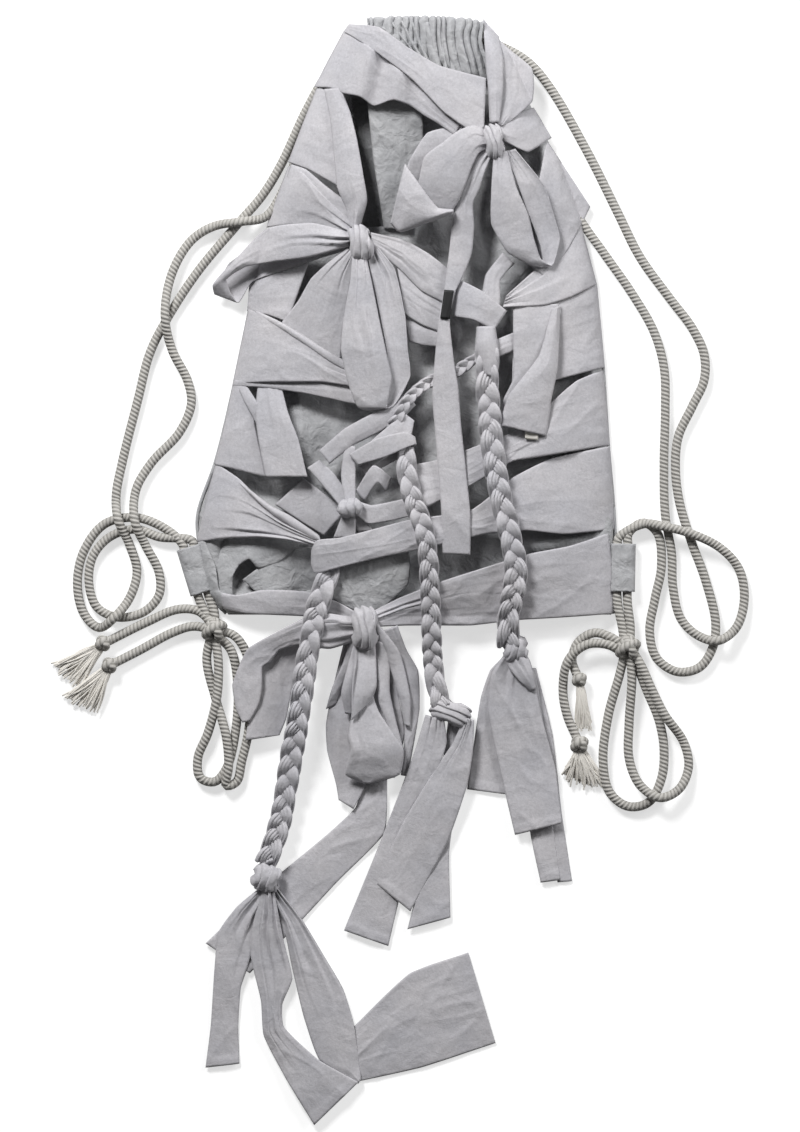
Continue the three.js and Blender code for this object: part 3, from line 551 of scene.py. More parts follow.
def front_panel():
    top, step, columns = 214, 2, 170
    side_from, side_to, hem_run = 4, 30, 40  # where the panel comes down from its seams
    neck_from, neck_to, neck_share = 150, 190, 0.55  # where it comes up again to the mouth
    slot_x, slot_slant = -32, 0.1
    x, y, inset, _ = panel_plan(HEM_Y + step, top, step, columns)
    sag = PANEL_SAG + 0 * x
    for (middle_x, middle_y), (reach_x, reach_y), depth in PANEL_DENTS:
        sag = sag + depth * np.exp(-(((x - middle_x) / reach_x) ** 2) - ((y - middle_y) / reach_y) ** 2)
    sag = sag * smooth(inset, side_from, side_to) * smooth(y, HEM_Y, HEM_Y + hem_run)
    sag = sag * (1 - neck_share * smooth(y, neck_from, neck_to))
    wrinkles = 2.4 * (1 - np.abs(noise(x / 24 + 0.4 * noise(x / 30, y / 40, 5), y / 70, 11))) ** 3
    wrinkles += 1.3 * noise(x / 15, y / 26, 12) + 0.3 * noise(x / 4, y / 5, 13)
    z = np.maximum(ground(x, y) - sag + wrinkles * smooth(inset, 0, 8), PANEL_LOWEST)
    slot_middle = slot_x + (SLOT_TOP - y) * slot_slant
    opening = (np.abs(x - slot_middle) < SLOT_HALF) & (y > SLOT_END) & (y < SLOT_TOP)
    cloth("front_panel_cloth", np.dstack([x, y, z]), "sack",
          nodes=["front_panel"], cut=opening)


def back_panel():
    top, step, columns = 224, 4, 80
    middle, ripple = 0.95, 0.25
    x, y, _, share = panel_plan(HEM_Y + 1, top, step, columns)
    z = middle + ripple * noise(x / 14, y / 16, 21) * (1 - np.abs(share) ** 6)
    cloth("back_panel_cloth", np.dstack([x, y, z]), "sack", nodes=["back_panel"])


CHANNEL_BOTTOM, CHANNEL_TOP = 204, 232
CHANNEL_LEFT, CHANNEL_RIGHT = -29, 60
PLEAT_PITCH = 5.6


def channel(name, node, middle, half_height, seed, skirt=0):
    """A flat tube of gathered cloth along the mouth, with small pleats across it.

    skirt is how much further down its lower edge reaches at the right end, where no strip covers it."""
    rows, columns = 240, 48
    pleat_height, pleat_reach = 2.1, 1.1  # how far pleats stand up, and out beyond the mouth's edge
    end_flattening = 0.55
    lowest = 0.6
    along = np.linspace(CHANNEL_LEFT, CHANNEL_RIGHT, rows)[:, None]
    turn = np.linspace(0, FULL_TURN, columns, endpoint=False)[None, :]
    pleat_phase = along / PLEAT_PITCH + 0.7 * noise(along / 11 + 0 * turn, 0 * turn, seed)
    ridge = np.abs(np.sin(math.pi * pleat_phase + 0.35 * np.sin(turn + seed)))
    pleat = (2 * ridge**0.7 - 1) * (1 + 0.3 * noise(along / 6 + 0 * turn, turn, seed))
    share = (2 * along - CHANNEL_LEFT - CHANNEL_RIGHT) / (CHANNEL_RIGHT - CHANNEL_LEFT)
    end = 1 - end_flattening * np.abs(share) ** 4
    depth = (CHANNEL_TOP - CHANNEL_BOTTOM) / 2
    y = (CHANNEL_TOP + CHANNEL_BOTTOM) / 2
    y = y + fuller(np.cos(turn), 0.6) * (depth + pleat_reach * pleat * (np.cos(turn) > 0))
    lower = np.maximum(-np.cos(turn), 0) * smooth(along, 10, 40)
    y = y - 5 * np.abs((along - 8) / 55) ** 3 - skirt * lower
    z = middle + fuller(np.sin(turn), 0.7) * (half_height * end + pleat_height * pleat)
    x = along + 0.4 * skirt * lower + 1.2 * noise(along / 12 + 0 * turn, np.cos(turn) * 2, seed + 1)
    piece = grid_object(name, np.dstack([x, y, np.maximum(z, lowest)]), SACK_CLOTH, closed=True)
    settle(piece, "sack", [node])


def neck_gathers():
    """Small ruffles along the mouth that run together into deeper folds below the channel."""
    ruffles, folds = 18, 9
    ruffle_height, fold_height = 4.2, 7
    left, top_width, low_width = -27, 88, 90
    drawn_to, drawn_share = 48, 0.35  # the folds lean in towards this x as they go down
    low_left, low_fall = 211, 34
    draw = np.random.default_rng(5)
    u, v = np.meshgrid(np.linspace(0, 1, 300), np.linspace(0, 1, 50))
    top = np.dstack([left + top_width * u, CHANNEL_TOP - 5 * np.abs(2 * u - 1) ** 5])
    column = left + low_width * u
    low = np.dstack([column + drawn_share * (drawn_to - column), low_left - low_fall * (1 - (1 - u) ** 2)])
    plan = top * (1 - v[..., None]) + low * v[..., None]
    ruffle_ends = np.concatenate([[0], np.cumsum(draw.uniform(0.6, 1.4, ruffles))])
    fold_ends = np.concatenate([[0], np.cumsum(draw.uniform(0.5, 1.6, folds))])
    ruffle_place = u + 0.008 * noise(u * 9, v * 3, 41)
    fold_place = u + 0.03 * noise(u * 5, v * 2, 42)
    ruffle = np.interp(ruffle_place, ruffle_ends / ruffle_ends[-1], np.arange(ruffles + 1))
    fold = np.interp(fold_place, fold_ends / fold_ends[-1], np.arange(folds + 1))
    fine = ruffle_height * (np.abs(np.sin(math.pi * ruffle)) - 0.6) * (1 - smooth(v, 0.12, 0.5))
    deep = fold_height * (np.abs(np.sin(math.pi * fold)) ** 0.8 - 0.6) * smooth(v, 0.05, 0.35)
    x = plan[..., 0]
    y = plan[..., 1] + 1.2 * (np.abs(np.sin(math.pi * ruffle)) - 0.5) * (1 - smooth(v, 0, 0.2))
    z = ground(x, y) - 2 - 4 * (1 - smooth(v, 0, 0.15)) + fine + deep + 0.5 * noise(x / 3, y / 6, 43)
    cloth("neck_gathers", np.dstack([x, y, z]), "sack")


def seam_welt(name, outline):
    """The narrow rolled seam along a side of the sack."""
    radius, middle, step, sides = 1.5, 2.4, 4, 8
    points = [(x, y, middle) for x, y in outline if y < MOUTH_FROM]
    settle(closed_tube(name, cord_path(points, step), SACK_CLOTH, radius, sides), "sack")


front_panel()
back_panel()
channel("front_channel_gathers", "front_channel", 25.2, 4.5, 31, 17)
channel("back_channel_gathers", "back_channel", 6.6, 5.6, 37)
neck_gathers()
seam_welt("left_seam_welt", LEFT_OUTLINE)
seam_welt("right_seam_welt", RIGHT_OUTLINE)


# Strips sewn into the side seams, as edges in plan with the heights and pleats along them.
sewn_strip("left_neck",
           [[(-47, 223), (-41, 219), (-34, 213), (-26, 207), (-16, 199), (-5, 190), (6, 181), (18, 170),
             (30, 158), (42, 147)],
            [(-70, 180), (-58, 178), (-47, 173), (-35, 170), (-24, 163), (-9, 167), (4, 163), (15, 155),
             (27, 148), (38, 140)]], [1, 5, 7, 12, 5, 12, 7, 10, 9, 9],
           gather=[0.4, 0.6, 0.8, 0.8, 0.8, 0.8, 0.8, 0.8, 0.9, 1], wave=1.4)
strip("panel_lap",
      [[(-30, 178), (-27, 150), (-24, 122), (-20, 96), (-16, 70)],
       [(8, 178), (14, 150), (14, 122), (8, 96), (4, 70)]], [1, -1, -4, -6, -8], slot="sack",
      gather=[0.8, 1.2, 1.4, 1.2, 0.8], wave=[1.5, 3.4, 4.6, 4.4, 4.2])
sewn_strip("collar",
           [[(-43, 227), (-20, 223), (2, 207), (26, 193), (62, 184)],
            [(-47, 222), (-22, 204), (5, 183), (30, 157), (60, 136)]], [5, 10, 12, 12, 11], folds=1,
           gather=[0.4, 0.6, 0.7, 0.6, 0.8], tilt=[0, -2, -3, -3, 0])
sewn_strip("left_shoulder", [[(-68, 179), (-60, 176), (-52, 168)], [(-90, 122), (-74, 115), (-50, 101)]],
           [1, 4, 5], folds=1, gather=[0.4, 0.7, 0.9], wave=1.6)
strip("left_shoulder_band",
      [[(-49, 177), (-42, 158), (-37, 138), (-32, 110), (-29, 90), (-35, 70)],
       [(-62, 177), (-57, 152), (-54, 122), (-52, 101), (-45, 84), (-42, 70)]], [6, 8, 9, 11, 11, 10],
      folds=1, gather=[0.6, 0.7, 0.8, 1.2, 1.7, 2.2], tilt=[0, 1, 2, 3, 3, 0], crown=2)
sewn_strip("left_chest",
           [[(-90, 119), (-79, 113), (-66, 98), (-52, 84), (-40, 74)],
            [(-107, 72), (-88, 73), (-68, 71), (-54, 67), (-42, 62)]], [1, 6, 8, 9, 9],
           gather=[0.4, 0.7, 1, 1.4, 1.8], tilt=[0, 2, 3, 2, 0])
strip("left_chest_fold",
      [[(-88, 120), (-76, 115), (-62, 103), (-48, 92), (-40, 84)],
       [(-91, 110), (-83, 102), (-70, 90), (-56, 78), (-44, 72)]], [1, 5, 6, 7, 8], folds=1, gather=0.8)
sewn_strip("left_waist", [[(-120, 30), (-98, 36), (-74, 44)], [(-122, 8), (-106, 4), (-90, -2)]],
           [1, 4, 5], gather=0.8)
sewn_strip("left_fan",
           [[(-44, 54), (-60, 42), (-72, 31), (-82, 14), (-97, -5)],
            [(-38, 48), (-42, 30), (-45, 10), (-48, -10), (-50, -34)]], [11, 11, 9, 7, 4],
           gather=[2.2, 1.5, 0.9, 0.6, 0.5], tilt=[0, 2, 3, 2, 0])
sewn_strip("left_hip",
           [[(-121, 9), (-96, -2), (-77, -13), (-60, -25), (-40, -40)],
            [(-133, -49), (-110, -48), (-86, -48), (-64, -48), (-36, -52)]], [1, 8, 10, 10, 9],
           gather=[0.4, 0.8, 1, 1.1, 1.2], tilt=[0, 2, 2, 2, 0])
strip("left_hip_lower",
      [[(-132, -46), (-100, -44), (-70, -44), (-38, -46)],
       [(-133, -50), (-108, -52), (-76, -57), (-36, -66)]], [1, 5, 6, 6], folds=1, gather=0.6)
strip("left_hip_edge",
      [[(-116, 8), (-94, -3), (-72, -17), (-52, -29), (-40, -36)],
       [(-115, 5), (-94, -8), (-73, -22), (-54, -35), (-42, -41)]], [1, 9, 11, 11, 9], folds=1,
      gather=0.3, crown=1, roll=0.6, wave=0.5)
sewn_strip("left_flank",
           [[(-131, -42), (-140, -85), (-147, -111)], [(-122, -42), (-115, -84), (-107, -121)]],
           [0, 4, 4], gather=[1.2, 0.9, 0.6])
strip("left_flank_fold",
      [[(-131, -46), (-123, -64), (-112, -84)], [(-125, -46), (-116, -60), (-106, -76)]], [1, 5.5, 4],
      folds=1, gather=0.4, crown=0.8, wave=0.6)
sewn_strip("left_gathered",
           [[(-146, -110), (-128, -122), (-112, -138), (-96, -152), (-66, -168)],
            [(-161, -171), (-138, -168), (-112, -167), (-90, -169), (-66, -175)]], [1, 6, 7, 7, 6],
           folds=4, gather=[0.8, 1.3, 1.9, 2.2, 1.6])
strip("left_gathered_roll",
      [[(-143, -112), (-124, -127), (-105, -142), (-88, -151), (-66, -166)],
       [(-134, -119), (-120, -134), (-101, -150), (-83, -162), (-64, -172)]], [1, 8, 10, 9, 8], folds=1,
      gather=0.5, crown=1.6)
strip("crumpled_cowl",
      [[(-147, -212), (-145, -188), (-138, -167), (-118, -163), (-98, -165), (-80, -172)],
       [(-133, -212), (-133, -198), (-128, -189), (-120, -184), (-113, -191), (-96, -186)]],
      [0, 1, 0, 1, 1, -2], slot="sack", gather=[0.8, 1.1, 1.2, 1.2, 1, 0.8],
      tilt=[-4, -6, -6, -7, -4, -2], wave=2)
strip("crumpled_lap",
      [[(-125, -200), (-113, -191), (-92, -178), (-66, -174)],
       [(-112, -212), (-102, -213), (-86, -213), (-66, -213)]], [-1, 1, -2, -7], slot="sack",
      gather=[0.5, 0.9, 0.9, 0.6], wave=2.4)
strip("left_corner_fold",
      [[(-161, -171), (-157, -192), (-151, -212), (-142, -224)],
       [(-154, -170), (-146, -190), (-143, -208), (-136, -215)]], [1, 3, 3, 2], slot="sack", folds=1,
      gather=0.8)
strip("inner_apron",
      [[(-56, -184), (-59, -200), (-56, -214), (-38, -224)],
       [(2, -174), (4, -190), (2, -204), (-20, -224)]], [1, 3, 4, 4], slot="sack", folds=3,
      gather=[1.2, 1.4, 1.4, 1.2], wave=1.4)
strip("inner_band", [[(-78, -122), (-62, -134), (-46, -147)], [(-100, -142), (-82, -154), (-62, -166)]],
      [-4, -4, -3], folds=1, gather=0.8, wave=1.4)
sewn_strip("left_hem",
           [[(-152, -208), (-130, -212), (-110, -208), (-77, -209), (-52, -217), (-36, -226)],
            [(-146, -221), (-122, -226), (-100, -227), (-78, -228), (-54, -232), (-36, -236)]],
           [1, 3, 4, 4, 5, 8], gather=[0.6, 0.8, 0.8, 1, 1.4, 2])
sewn_strip("upper_cross",
           [[(-26, 66), (0, 60), (18, 50), (36, 36)], [(-26, 56), (-4, 38), (13, 21), (31, 12)]],
           [10, 7, 6, 6], folds=3, gather=[2, 1.5, 1, 0.8])
sewn_strip("lower_cross", [[(-6, 40), (14, 23), (30, 11)], [(-1, 4), (14, -5), (28, -10)]], [6, 4, 4],
           gather=1)
strip("lower_cross_fold", [[(-1, 3), (12, -5), (27, -10)], [(3, -17), (14, -20), (27, -21)]], [2, 2, 2],
      gather=0.8)
sewn_strip("twisted",
           [[(-66, -101), (-46, -84), (-24, -72), (-8, -63), (2, -56)],
            [(-58, -111), (-40, -97), (-18, -86), (-2, -76), (8, -66)]], [6, 8, 8, 7, 6], folds=3,
           gather=[0.4, 0.6, 1.1, 1.6, 1.8], tilt=[0, 2, 2, 0, 0])
strip("twisted_lead", [[(60, -20), (72, -15), (84, -10)], [(62, -34), (74, -28), (84, -24)]], [6, 6, 5],
      gather=[1.6, 1.2, 1])
sewn_strip("braid_cover", [[(40, 31), (59, 21), (78, 6)], [(37, 2), (52, -1), (68, -9)]], [6, 13, 10],
           folds=1, gather=[0.5, 0.9, 0.6], wave=1.6)
sewn_strip("braid_lead",
           [[(75, 51), (62, 34), (59, 18), (56, 0)], [(84, 43), (73, 30), (73, 12), (70, -4)]],
           [6, 7, 8, 8], gather=[1, 1.2, 1.4, 1.2])
strip("braid_wrap",
      [[(55, -6), (54, -18), (56, -30), (60, -42)], [(69, -6), (71, -20), (72, -34), (70, -46)]],
      [11, 14, 14, 12], gather=[1.2, 1, 1, 1.2], crown=3.5, roll=2)
sewn_strip("right_neck",
           [[(61, 230), (62, 212), (63, 185), (65, 150)], [(75, 212), (98, 193), (98, 168), (76, 147)]],
           [7, 9, 10, 10], folds=3, gather=[1.2, 1.4, 1.6, 2])
strip("right_neck_fold",
      [[(60, 231), (61, 210), (63, 184), (66, 150)], [(72, 218), (75, 200), (75, 178), (72, 150)]],
      [9, 12, 13, 13], folds=1, gather=[0.8, 1, 1.2, 1.6], crown=1.6, tilt=[0, -2, -3, 0])
sewn_strip("right_shoulder", [[(99, 164), (86, 157), (70, 147)], [(113, 141), (94, 128), (76, 136)]],
           [1, 7, 10], gather=[0.4, 1, 1.8])
sewn_strip("right_chest",
           [[(109, 139), (104, 112), (98, 84), (90, 46)], [(143, 88), (136, 74), (124, 52), (108, 32)]],
           [0, 3, 4, 6], gather=[0.4, 0.7, 0.9, 1], wave=1.6)
sewn_strip("right_waist",
           [[(135, 77), (120, 60), (104, 42), (78, 18)], [(148, 28), (127, 17), (108, 11), (75, 9)]],
           [1, 4, 6, 8], folds=3, gather=[0.3, 0.7, 1.1, 1.7], tilt=[-1, -4, -3, 0])
sewn_strip("right_hip",
           [[(148, 28), (132, 19), (114, 13), (84, 11)], [(154, -36), (136, -41), (114, -47), (82, -54)]],
           [1, 3, 3, 2], folds=1, gather=[0.4, 0.6, 0.8, 0.8], wave=2)
sewn_strip("right_flank",
           [[(153, -38), (132, -47), (112, -64), (84, -86), (56, -97), (30, -107), (6, -112)],
            [(158, -96), (130, -101), (100, -106), (82, -109), (60, -122), (30, -138), (10, -147)]],
           [1, 5, 6, 5, 5, 4, 4], folds=3, gather=[0.3, 0.6, 0.9, 1, 1, 1, 1], wave=2.2)
strip("waist_strap_cloth",
      [[(158, -97), (112, -107), (82, -122), (52, -146), (0, -155), (-30, -163), (-50, -168), (-68, -170),
        (-72, -178)],
       [(162, -161), (122, -165), (93, -162), (60, -165), (8, -177), (-21, -183), (-49, -190),
        (-69, -195), (-72, -188)]], [1, 5, 6, 6, 8, 10, 12, 11, 4], nodes=["waist_strap"],
      gather=[0.3, 0.7, 1, 0.9, 0.5, 0.3, 0.3, 0.3, 0.3],
      wave=[2.6, 2.6, 2, 1.2, 0.6, 0.5, 0.5, 0.5, 0.5])
sewn_strip("right_hem",
           [[(157, -164), (127, -174), (96, -180), (60, -191), (29, -201), (-4, -214), (-24, -224)],
            [(163, -226), (120, -229), (86, -231), (51, -235), (29, -235), (0, -235), (-24, -236)]],
           [1, 5, 5, 6, 6, 7, 9], folds=3, gather=[0.3, 0.5, 0.7, 0.9, 1.3, 1.8, 2.3], wave=2.2)

# Hanging tails and the streamer, which hang from the sack at their upper ends.
RIGHT_TAIL_HINGE = [(100, 6, 26), (100, -20, 26)]
strip("left_tail_cloth",
      [[(-112, -40), (-115, -70), (-113, -90), (-107, -121)],
       [(-98, -40), (-90, -71), (-82, -92), (-75, -121)]], [1, 7, 8, 7], body="left_tail",
      nodes=["left_hanging_tail"], held="hung", gather=[1.2, 1, 0.7, 0.5],
      hinge=[(-105, -52, 20), (-102, -76, 22)])
strip("right_tail_cloth",
      [[(83, 11), (83, -14), (83, -46), (75, -63), (74, -80)],
       [(118, 12), (117, -8), (112, -36), (104, -60), (98, -84)]], [5, 8, 9, 9, 7], body="right_tail",
      nodes=["right_hanging_tail"], held="hung", folds=1, gather=[0.8, 0.6, 0.5, 0.4, 0.4],
      hinge=RIGHT_TAIL_HINGE)
strip("right_tail_lap",
      [[(113, 8), (103, -28), (80, -58), (75, -72), (74, -82)],
       [(119, 11), (117, -38), (112, -62), (110, -78), (108, -90)]], [7, 12, 13, 12, 11],
      body="right_tail", held="hung", folds=1, gather=0.4, tilt=[0, 3, 4, 3, 2], crown=3,
      hinge=RIGHT_TAIL_HINGE)
strip("label_streamer_cloth",
      [[(62, 130), (55, 124), (45, 106), (39, 88), (36, 71), (34, 52), (32, 36), (30, 20), (26, 0),
        (23, -30), (21, -60), (23, -85), (25, -110), (28, -150), (29, -180)],
       [(66, 124), (61, 112), (57, 99), (52, 88), (53, 70), (51, 50), (45, 34), (38, 20), (34, 0),
        (37, -30), (41, -55), (43, -82), (46, -110), (50, -150), (50, -181)]],
      [12, 12, 11, 11, 11, 10, 10, 10, 10, 9, 9, 9, 9, 9, 8], body="label_streamer", nodes=["label_tail"],
      held="hung", gather=[2, 1.6, 1.2, 1.2, 0.8, 0.7, 0.6, 0.3, 0.3, 0.6, 0.6, 0.6, 0.5, 0.4, 0.4],
      hinge=[(60, 124, 28), (50, 98, 28)])


def tape(name, grid_name, edges, lifts, body, material, thickness, nodes=(), **look):
    """A short piece of flat tape."""
    grid = strip_grid(grid_name, edges, lifts, folds=3, gather=0, wave=0, **look)
    settle(grid_object(name, grid, material, thickness=thickness), body, nodes)


tape("woven_label_tape", "woven_label",
     [[(30.2, 22), (28.6, 11), (27, 0)], [(37.2, 21.5), (35.6, 10.5), (34, -0.5)]],
     12.2, "label_streamer", LABEL_TAPE, 0.9, ["woven_label"], crown=0.3, roll=0.3)
tape("small_tag", "small_tag", [[(92, -82), (92, -92)], [(102, -83), (102, -93)]],
     [12, 10], "right_tail", TASSEL_YARN, CLOTH_THICKNESS, crown=0, roll=0)


# Bows: each loop runs out from the knot on top, turns over at its end and comes back underneath.
def loop(name, out, back, lifts, **look):
    """out and back are pairs of edges, from the knot to the loop's end and from there to the knot."""
    edges = [list(out[side]) + list(back[side]) for side in (0, 1)]
    face = [1] * len(out[0]) + [-1] * len(back[0])
    strip(name, edges, lifts, face=face, **look)


CRISP = {"crown": 0.2, "roll": 0.2, "wave": 0.6}  # look of the narrow folds round the small knot
strip("upper_bow_left_back",
      [[(60, 146), (38, 147), (17, 142), (4, 122), (-4, 100), (-9, 76)],
       [(60, 136), (44, 130), (30, 122), (16, 112), (10, 96), (6, 80)]], [9, 8, 7, 6, 6, 6], folds=1,
      gather=[1.6, 1, 0.6, 0.5, 0.5, 0.5], tilt=[0, 0, 2, 5, 4, 0])
strip("upper_bow_left_loop",
      [[(64, 143), (52, 147), (41, 143), (29, 134), (15, 123), (10, 103), (2, 88)],
       [(63, 130), (56, 126), (51, 116), (46, 102), (41, 90), (34, 80), (20, 74)]],
      [13, 16, 16, 16, 15, 12, 7], gather=[2, 1.3, 0.8, 0.6, 0.5, 0.4, 0.4], crown=2.5,
      tilt=[0, 0, 2, 4, 4, 2, 0])
strip("upper_bow_left_end",
      [[(37, 83), (25, 84), (11, 102), (0, 118)], [(37, 80), (17, 73), (-4, 66), (-11, 73)]],
      [15, 18, 17, 13], gather=[0.3, 0.6, 1, 0.9], crown=4.2, tilt=[0, 2, 4, 4], roll=2, wave=1.8)
loop("upper_bow_right_loop",
     [[(68, 128), (66, 98), (66, 72), (78, 51), (95, 42)],
      [(78, 128), (85, 100), (94, 80), (99, 60), (104, 46)]],
     [[(106, 40), (104, 56), (94, 82), (86, 104), (76, 128)],
      [(113, 41), (119, 62), (113, 84), (107, 102), (84, 130)]], [13, 16, 17, 16, 12, 9, 9, 9, 10, 11],
     gather=[2, 1.6, 1, 0.7, 0.5, 0.5, 0.6, 0.8, 1, 1.8], crown=2)
knot_band("upper_bow_knot", (68, 135), 98, 25, 13, 17, 5, nodes=["upper_bow"])
loop("left_bow_side_loop",
     [[(-42, 66), (-70, 73), (-106, 70), (-130, 47), (-148, 27)],
      [(-42, 56), (-74, 47), (-100, 44), (-123, 41), (-138, 31)]],
     [[(-147, 20), (-136, 44), (-106, 62), (-72, 62), (-42, 62)],
      [(-129, 13), (-118, 30), (-100, 36), (-78, 43), (-42, 54)]], [12, 17, 17, 15, 12, 7, 5, 5, 6, 9],
     gather=[2.2, 1.5, 0.9, 0.6, 0.4, 0.4, 0.4, 0.6, 1, 1.8], crown=1.5)
loop("left_bow_hanging_loop",
     [[(-40, 50), (-42, 28), (-47, 0), (-49, -24), (-44, -48), (-36, -68)],
      [(-30, 48), (-25, 25), (-20, 0), (-14, -28), (-10, -46), (-14, -69)]],
     [[(-22, -71), (-12, -52), (-14, -26), (-19, 2), (-24, 26), (-30, 54)],
      [(-8, -66), (4, -44), (2, -24), (0, 2), (-8, 38), (-22, 56)]],
     [12, 17, 18, 18, 16, 12, 9, 10, 11, 11, 11, 10],
     gather=[2.6, 2.4, 1.9, 1.4, 1, 0.6, 0.6, 0.9, 1.2, 1.5, 1.9, 2.2], crown=2)
knot_band("left_bow_knot", (-34, 58), 105, 26, 16, 18, 4, nodes=["left_bow"])
strip("small_knot_riser",
      [[(-46, -96), (-49, -120), (-46, -141)], [(-38, -98), (-38, -120), (-38, -139)]], [7, 9, 10],
      gather=[0.6, 0.9, 1.2], **CRISP)
loop("small_knot_loop",
     [[(-43, -104), (-22, -92), (0, -87), (8, -91)], [(-36, -112), (-15, -106), (3, -98), (9, -96)]],
     [[(4, -98), (-16, -101), (-36, -113)], [(2, -103), (-12, -111), (-30, -120)]],
     [11, 14, 13, 9, 5, 4, 4], folds=1, gather=0.7, **CRISP)
strip("small_knot_leaf",
      [[(-37, -106), (-24, -92), (-10, -80), (-2, -71)], [(-24, -113), (-8, -102), (4, -92), (7, -78)]],
      [8, 10, 10, 7], gather=[0.8, 0.8, 1, 1.4], crown=0.4, wave=0.8)
strip("small_knot_fold",
      [[(-38, -132), (-24, -112), (-10, -122)], [(-31, -139), (-21, -125), (-15, -132)]], [7, 13, 5],
      folds=1, gather=0.6, **CRISP)
strip("small_knot_band",
      [[(-38, -139), (-26, -143), (-10, -140), (4, -137)],
       [(-38, -150), (-28, -157), (-12, -155), (5, -151)]], [10, 9, 7, 6], folds=1,
      gather=[1.4, 0.9, 0.6, 0.6], **CRISP)
strip("small_knot_lead",
      [[(-66, -108), (-55, -118), (-41, -138)], [(-75, -114), (-62, -129), (-47, -147)]], [4, 6, 9],
      gather=1.1, **CRISP)
strip("small_knot_tail", [[(-47, -148), (-55, -168)], [(-38, -148), (-38, -168)]], [9, 7], gather=1.3,
      **CRISP)
strip("small_knot_end", [[(-42, -149), (-36, -163)], [(-34, -148), (-24, -163)]], [8, 5], folds=1,
      gather=0.8, **CRISP)
knot_band("small_knot_turn", (-42, -145), 100, 13, 18, 14, 5, nodes=["small_knot"])
floor_strip("bottom_bow_left_flap",
            [[(-58, -230), (-80, -230), (-98, -246), (-113, -262), (-118, -290), (-123, -324)],
             [(-58, -250), (-72, -256), (-84, -270), (-88, -288), (-92, -308), (-97, -320)]],
            [9, 8, 8, 8, 8.5, 9], gather=[1.6, 1.2, 0.8, 0.6, 0.5, 0.4], wave=0.8,
            tilt=[0, 0, 2, 3, 4, 3])
floor_strip("bottom_bow_left_loop",
            [[(-36, -230), (-58, -226), (-80, -231), (-102, -242), (-121, -253), (-128, -267),
              (-133, -281), (-130, -300), (-125, -310)],
             [(-36, -246), (-58, -253), (-82, -250), (-97, -254), (-104, -263), (-110, -267),
              (-110, -281), (-112, -294), (-120, -309)]], [13, 16, 13, 13, 14, 14, 13, 11.5, 11],
            nodes=["bottom_bow"], folds=3, gather=[2.4, 1.8, 1.3, 1, 0.9, 0.7, 0.5, 0.4, 0.4],
            tilt=[0, 0, 0, 0, -1, -2, -2, -1, 0])
floor_strip("bottom_bow_left_leaf",
            [[(-41, -242), (-48, -265), (-56, -283), (-61, -300)],
             [(-35, -248), (-38, -262), (-46, -276), (-53, -296)]], [13, 11, 8, 5], folds=1,
            gather=[1.6, 1, 0.7, 0.5])
floor_strip("bottom_bow_inner_leaf",
            [[(-40, -246), (-43, -285), (-45, -320), (-42, -352)],
             [(-14, -244), (-6, -285), (0, -318), (-8, -353)]], [9, 6, 5, 4], gather=[1.6, 1, 0.7, 0.4])
floor_strip("bottom_bow_front_loop",
            [[(-38, -246), (-39, -266), (-41, -286), (-41, -304), (-44, -321), (-42, -331), (-46, -350),
              (-32, -357)],
             [(-23, -246), (-24, -270), (-25, -288), (-20, -302), (-8, -320), (-1, -331), (-4, -350),
              (-27, -357)]], [13, 16, 16, 16, 17, 17, 12, 9], folds=3,
            gather=[2.2, 1.8, 1.6, 1.6, 1.7, 1.4, 0.9, 0.3], crown=2, tilt=[0, 0, 0, 0, 2, 3, 2, 0])
floor_strip("bottom_bow_left_fold",
            [[(-39, -248), (-45, -270), (-49, -287), (-46, -303)],
             [(-34, -250), (-38, -270), (-41, -288), (-40, -304)]], [14, 17, 17, 12], folds=1,
            gather=[1.2, 0.8, 0.6, 0.4], crown=1)
floor_strip("bottom_bow_centre_leaf",
            [[(-36, -249), (-36, -268), (-39, -288), (-41, -308)],
             [(-23, -249), (-22, -268), (-22, -282), (-26, -293)]], [15, 20, 21, 19], folds=1,
            gather=[1.6, 1, 0.8, 0.4], crown=1, tilt=[0, 1, 2, 2])
floor_strip("bottom_bow_right_leaf",
            [[(-23, -246), (-22, -274), (-20, -294), (-14, -310), (-10, -328)],
             [(-14, -250), (-12, -266), (-12, -286), (-8, -305), (-1, -332)]], [12, 14, 14, 14, 12],
            folds=1, gather=[1.6, 1, 0.7, 0.6, 0.5], crown=1.6, tilt=[0, 3, 3, 2, 0])
floor_strip("bottom_bow_outer_leaf",
            [[(-23, -240), (-12, -266), (-4, -292), (0, -312)],
             [(-22, -232), (-4, -256), (4, -290), (4, -314)]], [13, 13, 12, 9], folds=1,
            gather=[1.4, 0.9, 0.6, 0.5], crown=1.4)
floor_strip("bottom_bow_right_strip",
            [[(-20, -240), (-8, -262), (-2, -291), (0, -318), (-3, -351)],
             [(-6, -235), (1, -254), (10, -270), (11, -300), (2, -352)]], [9, 8, 7, 5, 4],
            gather=[1.4, 1, 0.8, 0.7, 0.5])
floor_strip("bottom_bow_tail_fold",
            [[(-44, -236), (-57, -290), (-61, -312), (-60, -332), (-53, -358), (-51, -370)],
             [(-34, -236), (-36, -290), (-30, -318), (-27, -345), (-32, -362), (-40, -377)]],
            [7, 5, 5, 4.5, 4.5, 4.5], held="laid", gather=[1.6, 1.2, 0.9, 0.8, 0.7, 0.5], wave=1.4)
